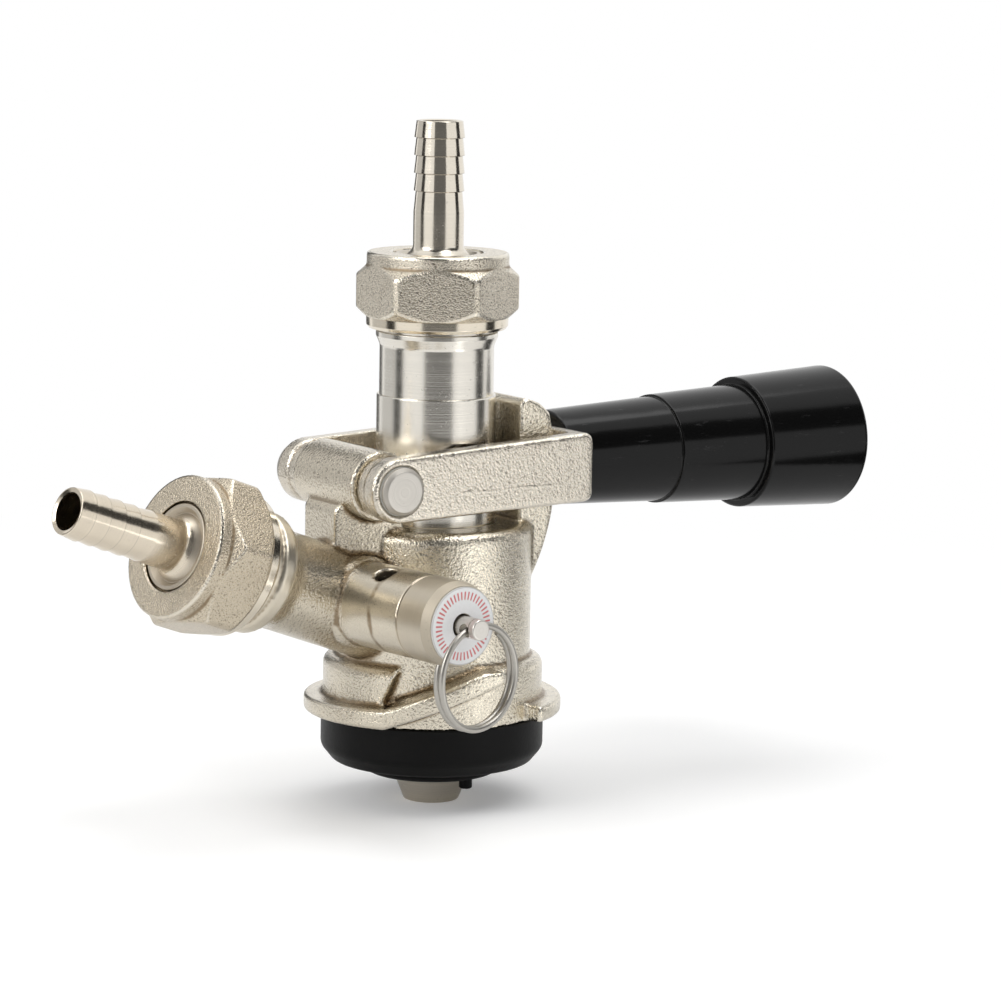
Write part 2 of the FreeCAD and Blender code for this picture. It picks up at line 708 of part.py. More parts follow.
def lever_fork():
    end_z = pivot_z - arm_end_drop
    back = pivot_x - arm_end_radius
    arm = plate([
        (back, end_z - arm_end_radius, arm_end_radius - 0.1), (crossbar_outer, crossbar_low, arm_round + 0.8),
        (crossbar_outer, crossbar_high, arm_round + 0.8), (back, end_z + arm_end_radius, arm_end_radius - 0.1)],
        -arm_outer_half, arm_outer_half)
    arm = arm.makeFillet(arm_round, [e for e in arm.Edges if e.BoundBox.YLength < 0.01])
    height = crossbar_high - crossbar_low
    reach = crossbar_inner - back + free_gap
    window = Part.makeBox(reach, 2.0 * fork_inner, 3.0 * height,
                          V(crossbar_inner - reach, -fork_inner, crossbar_low - height))
    inner_corners = [e for e in window.Edges if e.BoundBox.ZLength > height and e.BoundBox.XMin > crossbar_inner - 1.0]
    arm = arm.cut(window.makeFillet(1.8, inner_corners))
    pieces = [arm]
    holes = []
    for side in (-1, 1):
        inside = V(pivot_x, side * (pivot_barrel_half + free_gap), pivot_z)
        outside = V(pivot_x, side * arm_outer_half, pivot_z)
        pieces.append(rod(hub_radius, inside, V(pivot_x, side * (fork_inner + 0.4), pivot_z)))
        pieces.append(rod(drive_boss_radius, V(0, side * drive_boss_tip, drive_boss_z),
                          V(0, side * (fork_inner + 0.4), drive_boss_z)))
        holes.append(rod(bush_radius + fit_gap, inside, outside))
    pieces.append(bar_x(handle_socket_radius, crossbar_outer - 0.5, crossbar_outer + handle_socket_length, handle_z))
    fork = joined(pieces)
    for hole in holes:
        fork = fork.cut(hole)
    socket_end = crossbar_outer + handle_socket_length
    fork = fork.cut(bar_x(handle_tube_radius + thread_gap, socket_floor, socket_end, handle_z))
    return fork.cut(bar_x(nose_radius + running_gap, crossbar_inner - 1.0, socket_floor + 0.1, handle_z))


def pivot_bushes():
    bushes = []
    for side in (-1, 1):
        inside = V(pivot_x, side * (pivot_barrel_half + free_gap), pivot_z)
        outside = V(pivot_x, side * (arm_outer_half - 0.1), pivot_z)
        bushes.append(rod(bush_radius, inside, outside).cut(rod(bush_bore, inside, outside)))
    return Part.makeCompound(bushes)


def handle_tube():
    inner_end = handle_tube_end - handle_tube_wall
    tube = bar_x(handle_tube_radius, socket_floor, handle_tube_end, handle_z)
    tube = tube.cut(bar_x(handle_tube_bore, socket_floor, inner_end, handle_z))
    return tube.cut(bar_x(plunger_radius + running_gap, inner_end, handle_tube_end, handle_z))


def locking_plunger():
    collar = socket_floor + face_gap
    end = grip_nut_seat + grip_nut_height
    return along_x(revolved([
        (0, nose_tip, 0), (nose_radius, nose_tip, 0.4), (nose_radius, collar, 0), (collar_radius, collar, 0.2),
        (collar_radius, collar + collar_length, 0.2), (plunger_radius, collar + collar_length, 0),
        (plunger_radius, end, 0.3), (0, end, 0)]), handle_z)


def handle_spring():
    low = socket_floor + face_gap + collar_length + face_gap
    high = handle_tube_end - handle_tube_wall - face_gap
    mean = (plunger_radius + handle_tube_bore) / 2.0
    return along_x(coil(mean, handle_spring_wire, low, high, handle_spring_turns), handle_z)


def handle_grip():
    """Black grip in three flaring steps over the tube, hollow for the tube, the socket and the nut."""
    r = grip_radii
    cover = handle_socket_radius + free_gap
    cover_end = crossbar_outer + handle_socket_length + free_gap
    tube_room = handle_tube_radius + running_gap
    recess = end_plug_radius + fit_gap
    outer = [
        (cover, grip_start, 0), (r[0], grip_start, 0.6), (r[1], grip_step_one, 0.35), (r[2], grip_step_one, 0.35),
        (r[3], grip_step_two, 0.35), (r[4], grip_step_two, 0.5), (r[5], grip_end, 1.0)]
    inner = [
        (recess, grip_end, 0.3), (recess, grip_nut_seat, 0), (plunger_radius + fit_gap, grip_nut_seat, 0),
        (plunger_radius + fit_gap, grip_cavity_end, 0), (tube_room, grip_cavity_end, 0),
        (tube_room, cover_end, 0), (cover, cover_end, 0)]
    return along_x(revolved(outer + inner), handle_z)


def grip_nut():
    blank = hexagon(grip_nut_flats, grip_nut_seat, grip_nut_seat + grip_nut_height, 0.0)
    hole = Part.makeCylinder(plunger_radius + fit_gap, grip_nut_height, V(0, 0, grip_nut_seat))
    return along_x(blank.cut(hole), handle_z)


def grip_end_plug():
    start = grip_end - 0.4 - end_plug_thickness
    return along_x(revolved([
        (0, start, 0), (end_plug_radius, start, 0), (end_plug_radius, grip_end - 0.4, 0.5), (0, grip_end - 0.1, 0)]),
        handle_z)


# Probe

def lifted_shift():
    """How far a drive boss swings back towards the pivot while the lever rises."""
    reach = math.hypot(pivot_x, drive_boss_z - pivot_z)
    start = math.asin((drive_boss_z - pivot_z) / reach)
    return -pivot_x - reach * math.cos(start + math.radians(lift_degrees))


def probe_tube():
    ring_height = 2.0 * ring_section + 0.3
    ring_floor = probe_radius - 2.0 * ring_section - 0.1
    seal_groove = probe_bottom + probe_end_flange
    shank = tip_shank_radius + fit_gap
    outer = [
        (shank, probe_bottom, 0), (probe_radius - 0.65, probe_bottom, 0.3), (probe_radius - 0.65, seal_groove, 0),
        (groove_radius, seal_groove, 0), (groove_radius, seal_groove + probe_end_groove, 0),
        (probe_radius, seal_groove + probe_end_groove, 0), (probe_radius, probe_ring_z - ring_height / 2.0, 0),
        (ring_floor, probe_ring_z - ring_height / 2.0, 0), (ring_floor, probe_ring_z + ring_height / 2.0, 0),
        (probe_radius, probe_ring_z + ring_height / 2.0, 0), (probe_radius, probe_step, 0.25),
        (probe_neck_radius, probe_step, 0), (probe_neck_radius, probe_flare, 1.2),
        (probe_flange_radius, probe_flange, 0.3), (probe_flange_radius, union_seat + nut_bottom - 0.5, 0.2),
        (thread_radius - 0.9, union_seat + nut_bottom - 0.5, 0), (thread_radius - 0.9, union_seat + nut_bottom + 0.6, 0),
        (thread_radius, union_seat + nut_bottom + 1.2, 0), (thread_radius, union_seat, 0.5)]
    inner = [
        (cage_radius + fit_gap, union_seat, 0), (cage_radius + fit_gap, cage_floor, 0), (ball_seat_radius, cage_floor, 0),
        (ball_seat_radius, cage_floor - 1.3, 0), (probe_bore, cage_floor - 3.1, 0), (probe_bore, seal_groove + 3.0, 0),
        (shank, seal_groove + 3.0, 0)]
    tube = revolved(outer + inner)
    radius = drive_boss_radius + pocket_play
    shift = lifted_shift()
    for side in (-1, 1):
        floor = side * (drive_boss_tip - pocket_depth)
        wall = side * (probe_radius + 1.0)
        for x in (0, -shift):
            tube = tube.cut(rod(radius, V(x, floor, drive_boss_z), V(x, wall, drive_boss_z)))
        slot = Part.makeBox(shift, abs(wall - floor), 2.0 * radius)
        slot.translate(V(-shift, min(floor, wall), drive_boss_z - radius))
        tube = tube.cut(slot)
    return tube


def probe_o_ring():
    floor = probe_radius - 2.0 * ring_section - 0.1
    return o_ring(floor + 0.05 + ring_section, ring_section, probe_ring_z)


def probe_seal():
    """Rubber boot over the probe's end flange, with one small moulding nib on its face."""
    flange_top = probe_bottom + probe_end_flange
    lip_top = flange_top + probe_end_groove - fit_gap
    boot = revolved([
        (probe_seal_hole, probe_seal_bottom, 0), (probe_seal_radius, probe_seal_bottom, 2.0),
        (probe_seal_radius, lip_top - 1.6, 0.8), (probe_radius, lip_top, 0), (groove_radius + fit_gap, lip_top, 0),
        (groove_radius + fit_gap, flange_top + fit_gap, 0), (probe_radius - 0.6, flange_top + fit_gap, 0),
        (probe_radius - 0.6, probe_bottom - fit_gap, 0), (probe_seal_hole, probe_bottom - fit_gap, 0)])
    angle = math.radians(nib_angle)
    nib = revolved([(0, 0, 0), (nib_radius, 0, 0.4), (nib_radius, nib_height + 0.3, 0), (0, nib_height + 0.3, 0)])
    nib.translate(V(nib_place * math.cos(angle), nib_place * math.sin(angle), probe_seal_bottom - nib_height))
    return boot.fuse(nib)


def probe_tip():
    top = probe_bottom + probe_end_flange + 3.0 - fit_gap
    shoulder = probe_seal_bottom - fit_gap
    return revolved([
        (tip_bore + 0.3, tip_bottom, 0), (tip_radius, tip_bottom, 0.3), (tip_top_radius, shoulder, 0),
        (tip_shank_radius, shoulder, 0), (tip_shank_radius, top, 0.3), (tip_bore, top, 0),
        (tip_bore, tip_bottom + 0.3, 0)])


def ball_centre():
    return cage_floor + math.sqrt(ball_radius ** 2 - ball_seat_radius ** 2) + 0.04


def check_ball():
    return Part.makeSphere(ball_radius, V(0, 0, ball_centre()))


def ball_cage():
    """Slotted basket that stops the ball's lift."""
    basket = Part.makeCylinder(cage_radius, cage_depth - fit_gap, V(0, 0, cage_floor + fit_gap))
    roof = union_seat - cage_roof
    basket = basket.cut(Part.makeCylinder(cage_bore, roof - cage_floor, V(0, 0, cage_floor)))
    basket = basket.cut(Part.makeCylinder(cage_bore / 2.0, cage_roof + 1.0, V(0, 0, roof - 0.5)))
    for quarter in (0, 90):
        slot = Part.makeBox(2.0 * cage_radius + 2.0, cage_slot_width, cage_slot_height)
        slot.translate(V(-cage_radius - 1.0, -cage_slot_width / 2.0, roof - cage_slot_height))
        slot.rotate(V(0, 0, 0), UP, 45 + quarter)
        basket = basket.cut(slot)
    return basket


# Nodes

def beer_side(shape):
    return placed(shape, FreeCAD.Placement(V(0, 0, union_seat), FreeCAD.Rotation()))


def gas_side(shape):
    return placed(shape, gas_place.multiply(FreeCAD.Placement(V(0, 0, gas_seat), FreeCAD.Rotation())))


def relief_side(shape):
    return placed(shape, relief_place)


nodes = {
    "body_casting": body_casting(),
    "body_seal": body_seal(),
    "neck_o_ring": neck_o_ring(),
    "pivot_pin": placed(turned_pin(), pin_place()),
    "pin_snap_ring": placed(snap_ring(), pin_place()),
    "gas_washer": gas_side(washer()),
    "gas_tailpiece": gas_side(tailpiece()),
    "gas_hex_nut": gas_side(hex_nut(gas_nut_turn)),
    "gas_check_valve": gas_side(check_valve()),
    "relief_cap": relief_side(relief_cap()),
    "relief_label": relief_side(relief_label()),
    "relief_seal": relief_side(relief_seal()),
    "relief_stem": relief_side(relief_stem()),
    "relief_spring": relief_side(relief_spring()),
    "pull_ring": relief_side(pull_ring()),
    "lever_fork": lever_fork(),
    "pivot_bushes": pivot_bushes(),
    "handle_tube": handle_tube(),
    "locking_plunger": locking_plunger(),
    "handle_spring": handle_spring(),
    "handle_grip": handle_grip(),
    "grip_nut": grip_nut(),
    "grip_end_plug": grip_end_plug(),
    "probe_tube": probe_tube(),
    "probe_o_ring": probe_o_ring(),
    "probe_seal": probe_seal(),
    "probe_tip": probe_tip(),
    "check_ball": check_ball(),
    "ball_cage": ball_cage(),
    "beer_washer": beer_side(washer()),
    "beer_tailpiece": beer_side(tailpiece()),
    "beer_hex_nut": beer_side(hex_nut(beer_nut_turn)),
}

for name, shape in nodes.items():
    solids = shape.Solids
    if not shape.isValid() or not solids:
        raise ValueError(name + " did not close")
    shape.exportStep("parts/" + name + ".step")
    print(name, len(solids), round(shape.Volume, 1))
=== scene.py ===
# %% [markdown]
# # A keg coupler in metal, rubber and plastic
# A keg coupler locks on the neck of a beer keg. Its lever pushes a hollow probe down through the keg's
# valve, gas goes in through the side arm, and beer leaves at the top. The solids are made already and stay
# as they are. Here they get their finishes, and the cast and forged pieces get the soft edges that a mould
# leaves.
#
# The fixed frame is loaded first. Each solid is an object whose place is in its mesh, in metres.

# %% Load the frame
import math

import bpy
import numpy as np
from mathutils import Matrix, Vector


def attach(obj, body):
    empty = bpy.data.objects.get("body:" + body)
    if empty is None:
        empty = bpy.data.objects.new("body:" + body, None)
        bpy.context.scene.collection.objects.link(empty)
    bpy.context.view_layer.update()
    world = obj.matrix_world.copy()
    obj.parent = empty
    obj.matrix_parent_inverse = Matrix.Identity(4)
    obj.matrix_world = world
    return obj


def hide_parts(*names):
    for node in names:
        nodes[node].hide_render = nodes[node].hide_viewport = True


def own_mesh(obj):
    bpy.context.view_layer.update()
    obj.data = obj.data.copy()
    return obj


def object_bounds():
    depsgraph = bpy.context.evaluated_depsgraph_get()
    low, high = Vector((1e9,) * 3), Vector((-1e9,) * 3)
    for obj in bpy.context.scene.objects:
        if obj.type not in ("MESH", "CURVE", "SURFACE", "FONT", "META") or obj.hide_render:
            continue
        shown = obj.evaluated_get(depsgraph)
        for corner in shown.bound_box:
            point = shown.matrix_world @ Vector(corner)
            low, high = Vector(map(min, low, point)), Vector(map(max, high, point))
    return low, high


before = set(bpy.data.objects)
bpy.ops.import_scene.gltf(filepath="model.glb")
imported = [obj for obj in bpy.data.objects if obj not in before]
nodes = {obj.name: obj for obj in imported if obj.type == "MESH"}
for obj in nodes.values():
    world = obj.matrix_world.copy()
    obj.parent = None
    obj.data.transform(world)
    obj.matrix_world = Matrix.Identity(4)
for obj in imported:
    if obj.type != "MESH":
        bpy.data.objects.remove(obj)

solid_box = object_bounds()
print("solids:", len(nodes), "box:", [round(v, 4) for corner in solid_box for v in corner])

# %% [markdown]
# ## The camera
# The photograph looks down a little on the handle's side, from far away with a long lens. A camera is a
# place and three directions: right, up and back. They are worked out from the angle round the object, the
# dip below level and a small roll, and become the columns of the camera's matrix.

# %% Camera
CAMERA_PLACE = Vector((-0.4075, -0.6118, 0.1516))
CAMERA_TURN = math.radians(34.6)
CAMERA_DIP = math.radians(8.72)
CAMERA_ROLL = math.radians(0.93)
SENSOR = 36.0
FOCAL_PIXELS = 4080.0
PICTURE_PIXELS = 1001.0

level_right = Vector((math.cos(CAMERA_TURN), -math.sin(CAMERA_TURN), 0))
level_ahead = Vector((math.sin(CAMERA_TURN), math.cos(CAMERA_TURN), 0))
upright = Vector((0, 0, 1))
ahead = level_ahead * math.cos(CAMERA_DIP) - upright * math.sin(CAMERA_DIP)
tilted_up = level_ahead * math.sin(CAMERA_DIP) + upright * math.cos(CAMERA_DIP)
right = level_right * math.cos(CAMERA_ROLL) + tilted_up * math.sin(CAMERA_ROLL)
up = tilted_up * math.cos(CAMERA_ROLL) - level_right * math.sin(CAMERA_ROLL)

scene = bpy.context.scene
camera_data = bpy.data.cameras.new("camera")
camera_data.sensor_width = SENSOR
camera_data.lens = SENSOR * FOCAL_PIXELS / PICTURE_PIXELS
camera_data.clip_start = 0.01
camera_data.clip_end = 50.0
camera = bpy.data.objects.new("camera", camera_data)
camera.matrix_world = Matrix.Translation(CAMERA_PLACE) @ Matrix((right, up, -ahead)).transposed().to_4x4()
scene.collection.objects.link(camera)
scene.camera = camera
scene.view_settings.view_transform = "Standard"
print("lens:", round(camera_data.lens, 2), "mm")

# %% [markdown]
# ## Writing a finish as sums
# A finish is a graph of nodes, which is slow to read when it is wired by hand. Two small classes let it be
# written as arithmetic: `Value` holds a socket, and a sum or product on it adds a Math node, while `Finish`
# adds any other node from its type, its settings and its sockets.

# %% Values and finishes
class Value:
    """A socket of a node graph. Sums, products and powers on it add Math nodes."""

    def __init__(self, finish, socket):
        self.finish = finish
        self.socket = socket

    def math(self, operation, first, second=0.0, clamp=False):
        """A Math node of two numbers or values."""
        return self.finish.add("Math", {"operation": operation, "use_clamp": clamp}, {0: first, 1: second})

    def __add__(self, other):
        return self.math("ADD", self, other)

    def __radd__(self, other):
        return self.math("ADD", other, self)

    def __sub__(self, other):
        return self.math("SUBTRACT", self, other)

    def __rsub__(self, other):
        return self.math("SUBTRACT", other, self)

    def __mul__(self, other):
        return self.math("MULTIPLY", self, other)

    def __pow__(self, other):
        return self.math("POWER", self, other)

    def clamped(self):
        """The value, kept between 0 and 1."""
        return self.math("ADD", self, 0.0, clamp=True)

    def size(self):
        """The value without its sign."""
        return self.math("ABSOLUTE", self)

    def step(self, low, high):
        """0 below low, 1 above high, and a smooth rise between."""
        return self.finish.add("MapRange", {"interpolation_type": "SMOOTHSTEP"},
                               {"Value": self, "From Min": low, "From Max": high}, "Result")


class Finish:
    """A material that is being made, and the one way to add a node to it."""

    def __init__(self, name, tree=None):
        if tree is None:
            self.material = bpy.data.materials.new(name)
            self.material.use_nodes = True
            tree = self.material.node_tree
        self.tree = tree
        self.tree.nodes.clear()

    def add(self, kind, settings=None, sockets=None, output=0):
        """Adds a node. A socket takes a value, which is linked, or a constant. One output comes back."""
        node = self.tree.nodes.new("ShaderNode" + kind)
        for name, value in (settings or {}).items():
            setattr(node, name, value)
        for name, value in (sockets or {}).items():
            if isinstance(value, Value):
                self.tree.links.new(value.socket, node.inputs[name])
            else:
                node.inputs[name].default_value = value
        return Value(self, node.outputs[output])

    def place(self):
        """The point being shaded, in metres in the object's own frame."""
        return self.add("TexCoord", output="Object")

    def parts(self, vector):
        """The three coordinates of a vector."""
        return [self.add("SeparateXYZ", sockets={"Vector": vector}, output=axis) for axis in "XYZ"]

    def noise(self, vector, grains_per_metre, detail=2.0, roughness=0.5):
        """Blotches of noise from 0 to 1, so many to a metre."""
        return self.add("TexNoise", {"noise_dimensions": "3D"}, {
            "Vector": vector, "Scale": grains_per_metre, "Detail": detail, "Roughness": roughness}, "Fac")

    def rings(self, along, lines_per_metre, detail=2.0):
        """Uneven lines across one direction, as a lathe tool leaves them: noise of one number."""
        return self.add("TexNoise", {"noise_dimensions": "1D"}, {
            "W": along, "Scale": lines_per_metre, "Detail": detail}, "Fac")

    def mix(self, share, first, second):
        """Colour between two, at a share from 0 to 1."""
        return self.add("Mix", {"data_type": "RGBA"}, {0: share, 6: first, 7: second}, 2)

    def bump(self, height, depth):
        """Normal of a surface that rises by depth, in metres, where height is 1."""
        return self.add("Bump", {}, {"Height": height, "Distance": depth, "Strength": 1.0}, "Normal")

    def surface(self, **sockets):
        """Ends the graph in one Principled shader; underscores in the names stand for spaces."""
        named = {name.replace("_", " "): value for name, value in sockets.items()}
        self.end(self.add("BsdfPrincipled", {}, named, "BSDF"))
        return self.material

    def end(self, shader):
        """Joins a shader to the output."""
        out = self.tree.nodes.new("ShaderNodeOutputMaterial")
        self.tree.links.new(shader.socket, out.inputs["Surface"])


def colour(red, green, blue):
    """The colour of a socket, which has a fourth number for how solid it is."""
    return (red, green, blue, 1.0)


def shade_of(tint, factor):
    """A tint made darker or lighter, as the colour of a socket."""
    return colour(*[min(part * factor, 1.0) for part in tint])


print("ready to write finishes")


# %% [markdown]
# ## Floor, light and the studio round it
# Bright metal has little colour of its own: what shows is the room. The photograph was taken in a white
# room with dark strips, so a cylinder shows a dark middle, bright flanks, a narrow dark line and a pale
# edge. The world is white where a ray from the camera or a reflection meets it, and plain grey as light.
# Dark cards that only reflections see make the dark strips. A glowing card and soft boxes make the bright
# ones.
#
# An upright wall mirrors the floor as far out as its own height above the floor asks for, so how near a
# card begins on the floor decides which pieces show it: the casting from 0.13 m on, the probe from 0.4 m,
# the barbs from 0.65 m.

# %% Objects from arrays
def mesh_object(name, points, faces, smooth=True):
    """Object from an array of points and an array of faces."""
    mesh = bpy.data.meshes.new(name)
    mesh.from_pydata(points.tolist(), [], faces.tolist())
    mesh.polygons.foreach_set("use_smooth", np.full(len(mesh.polygons), smooth))
    mesh.update()
    made = bpy.data.objects.new(name, mesh)
    scene.collection.objects.link(made)
    return made


def grid_faces(rows, columns, closed_rows=False, closed_columns=False):
    """Four-sided faces between the points of a grid that is stored row after row."""
    down = np.arange(rows if closed_rows else rows - 1)
    along = np.arange(columns if closed_columns else columns - 1)
    i, j = [a.ravel() for a in np.meshgrid(down, along, indexing="ij")]
    below = (i + 1) % rows
    beside = (j + 1) % columns
    corners = [i * columns + j, below * columns + j, below * columns + beside, i * columns + beside]
    return np.stack(corners, axis=1)


print("a 3 by 4 grid has", len(grid_faces(3, 4)), "faces")

# %% Floor
FLOOR_LEVEL = solid_box[0].z
FLOOR_REACH = 9.0
SHADOW_REACH = (0.12, 0.34)
FLOOR_LIFT = 0.16

half = np.linspace(-FLOOR_REACH, FLOOR_REACH, 2)
floor_x, floor_y = np.meshgrid(half, half)
floor_points = np.stack([floor_x.ravel(), floor_y.ravel(), np.full(4, FLOOR_LEVEL)], axis=1)
floor = mesh_object("floor", floor_points, grid_faces(2, 2)[:, ::-1], smooth=False)

paper = Finish("floor_paper")
east, north, _ = paper.parts(paper.place())
away = (east * east + north * north) ** 0.5
seen = paper.add("LightPath", output="Is Camera Ray")
mirrored = paper.add("LightPath", output="Is Glossy Ray")
bright = (seen + mirrored).clamped() * away.step(*SHADOW_REACH)
matt = paper.add("BsdfDiffuse", {}, {"Color": colour(0.93, 0.93, 0.93)}, "BSDF")
lift = paper.add("Emission", {}, {"Color": colour(1, 1, 1), "Strength": seen * FLOOR_LIFT}, "Emission")
near = paper.add("AddShader", {}, {0: matt, 1: lift})
glow = paper.add("Emission", {}, {"Color": colour(1, 1, 1), "Strength": 1.0}, "Emission")
paper.end(paper.add("MixShader", {}, {0: bright, 1: near, 2: glow}))
floor.data.materials.append(paper.material)
print("floor at", round(FLOOR_LEVEL, 4))

# %% World
WORLD_LIGHT = 0.55

world = bpy.data.worlds.new("white_room")
world.use_nodes = True
scene.world = world
room = Finish("room", world.node_tree)
seen = room.add("LightPath", output="Is Camera Ray")
mirrored = room.add("LightPath", output="Is Glossy Ray")
through = room.add("LightPath", output="Is Transmission Ray")
shown = (seen + mirrored + through).clamped()
level = shown * (1.0 - WORLD_LIGHT) + WORLD_LIGHT
background = room.add("Background", {}, {"Color": colour(1, 1, 1), "Strength": level}, "Background")
room_end = room.tree.nodes.new("ShaderNodeOutputWorld")
room.tree.links.new(background.socket, room_end.inputs["Surface"])
print("world light:", WORLD_LIGHT)

# %% Cards and soft boxes
CARD_DISTANCE = 1.7
CARD_START = 0.34
CARD_NEAR = 0.16
CARD_TOP = 1.5
CARD_BASE = FLOOR_LEVEL + 0.001
CAMERA_SIDE = -90.0 - math.degrees(CAMERA_TURN)
ON_FLOOR = ((CARD_START, CARD_BASE), (CARD_DISTANCE, CARD_BASE), (CARD_DISTANCE, CARD_TOP))
NEARER = ((CARD_NEAR, CARD_BASE), (CARD_DISTANCE, CARD_BASE), (CARD_DISTANCE, CARD_TOP))
BY_THE_FOOT = ((0.09, CARD_BASE), (0.31, CARD_BASE))
LOW = ((0.14, CARD_BASE), (0.42, CARD_BASE))
HUNG = ((1.2, 0.38), (1.2, 1.4))
OVERHEAD = ((1.0, 0.85), (0.25, 1.35))
STEPS_ALONG_CARD = 17

# Each card has a first and a last angle from the camera's side in degrees, a level of light and a profile.
CARDS = {
    "card_behind_camera": (-23.0, 33.0, 0.15, ON_FLOOR),
    "card_left": (-88.0, -70.0, 0.04, NEARER),
    "card_left_grey": (-128.0, -88.0, 0.62, ON_FLOOR),
    "card_right": (86.0, 108.0, 0.04, NEARER),
    "card_back_right": (112.0, 134.0, 0.10, LOW),
    "card_glowing": (42.0, 56.0, 2.4, BY_THE_FOOT),
    "card_back_left": (-166.0, -140.0, 0.12, ON_FLOOR),
    "card_over_handle": (50.0, 86.0, 0.05, HUNG),
    "card_over_camera": (-48.0, 48.0, 0.05, OVERHEAD),
}

# Each box has an angle from the camera's side, an angle above level, a distance, a width and a power.
BOXES = {
    "box_left": (-58.0, 30.0, 0.95, 0.55, 3.0),
    "box_right": (52.0, 62.0, 1.05, 0.50, 2.4),
    "box_top": (150.0, 74.0, 0.95, 0.60, 2.2),
}
AIM = Vector((0.010, -0.002, 0.045))


def card(name, first, last, level, profile):
    """Strip that only reflections see: a profile of distances and heights, carried round the object."""
    sheet = Finish(name)
    sheet.end(sheet.add("Emission", {}, {"Color": colour(level, level, level), "Strength": 1.0}, "Emission"))
    angles = np.radians(CAMERA_SIDE + np.linspace(first, last, STEPS_ALONG_CARD))
    reach, height = np.array(profile).T
    points = np.stack([reach[:, None] * np.cos(angles), reach[:, None] * np.sin(angles),
                       height[:, None] + 0.0 * angles], axis=-1)
    made = mesh_object(name, points.reshape(-1, 3), grid_faces(len(profile), STEPS_ALONG_CARD), smooth=False)
    made.data.materials.append(sheet.material)
    made.visible_camera = False
    made.visible_diffuse = False
    made.visible_shadow = False
    made.visible_transmission = False
    return made


def soft_box(name, side, climb, distance, width, power):
    """Square lamp at an angle from the camera's side and above level, turned to the object."""
    around = math.radians(CAMERA_SIDE + side)
    above = math.radians(climb)
    aside = Vector((math.cos(around) * math.cos(above), math.sin(around) * math.cos(above), math.sin(above)))
    lamp = bpy.data.lights.new(name, "AREA")
    lamp.shape = "SQUARE"
    lamp.size = width
    lamp.energy = power
    made = bpy.data.objects.new(name, lamp)
    made.location = AIM + aside * distance
    made.rotation_euler = aside.to_track_quat("Z", "Y").to_euler()
    scene.collection.objects.link(made)
    return made


for name, numbers in CARDS.items():
    card(name, *numbers)
for name, numbers in BOXES.items():
    soft_box(name, *numbers)
print(len(CARDS), "cards and", len(BOXES), "soft boxes")

# %% [markdown]
# ## Soft edges on cast and forged pieces
# A casting has no sharp edge: sand and metal round every corner, and where two forms meet a fillet fills
# the corner. The solids have crisp corners, so a copy of each cast or forged solid is rebuilt as an even
# net of small squares, and the net is eased. A point moves towards the middle of its neighbours. Where that
# fills a hollow corner it is done many times, and on outer edges only a few times, so fillets are wide and
# edges stay fairly tight.
#
# The same arithmetic measures how sharply the surface bends, which is kept as a number on each point. The
# finish reads it: outer edges are rubbed bright, with a painted highlight, and hollow corners are darkened
# by a brown film with painted shade.

# %% Eased copy of a solid
MOST_TRIANGLES = 194000
CASTING_CELL = 0.00034
LEVER_CELL = 0.00032
NUT_CELL = 0.00025
CAST_PASSES = 9
FORGED_PASSES = 5
EDGE_PASSES = 2
LEAST_FILL = 0.05      # of a cell: a smaller step isn't taken, so flat faces stay flat
LEAST_EASE = 0.25      # of a step: even held faces lose the net's stairs
BLUR_PASSES = 2
PER_MILLIMETRE = 0.001


def even_net(source, name, cell):
    """Copy of a solid as an even net of squares about one cell wide."""
    mesh = source.data.copy()
    made = bpy.data.objects.new(name, mesh)
    scene.collection.objects.link(made)
    made.modifiers.new("merge", "WELD").merge_threshold = 1e-6
    net = made.modifiers.new("net", "REMESH")
    net.mode = "VOXEL"
    net.voxel_size = cell
    net.use_smooth_shade = True
    evaluated = made.evaluated_get(bpy.context.evaluated_depsgraph_get())
    made.data = bpy.data.meshes.new_from_object(evaluated)
    made.modifiers.clear()
    made.data.materials.clear()
    return made


def pull_to_neighbours(points, ends):
    """For each point, the step to the mean of its neighbours, and the mean squared length of its edges."""
    count = len(points)
    share = np.bincount(ends.ravel(), minlength=count).astype(float)
    first, second = ends[:, 0], ends[:, 1]
    total = np.zeros_like(points)
    for axis in range(3):
        total[:, axis] = np.bincount(first, points[second, axis], count)
        total[:, axis] += np.bincount(second, points[first, axis], count)
    squared = np.sum((points[first] - points[second]) ** 2, axis=1)
    spread = np.bincount(first, squared, count) + np.bincount(second, squared, count)
    return total / share[:, None] - points, spread / share


def normals_of(made):
    """The normals at a piece's points, one row each."""
    normals = np.zeros(len(made.data.vertices) * 3)
    made.data.vertices.foreach_get("normal", normals)
    return normals.reshape(-1, 3)


def thinned(made):
    """Takes faces out of the flat stretches until the piece has few enough triangles."""
    triangles = 2 * len(made.data.polygons)
    if triangles > MOST_TRIANGLES:
        made.modifiers.new("fewer", "DECIMATE").ratio = MOST_TRIANGLES / triangles
        evaluated = made.evaluated_get(bpy.context.evaluated_depsgraph_get())
        made.data = bpy.data.meshes.new_from_object(evaluated)
        made.modifiers.clear()


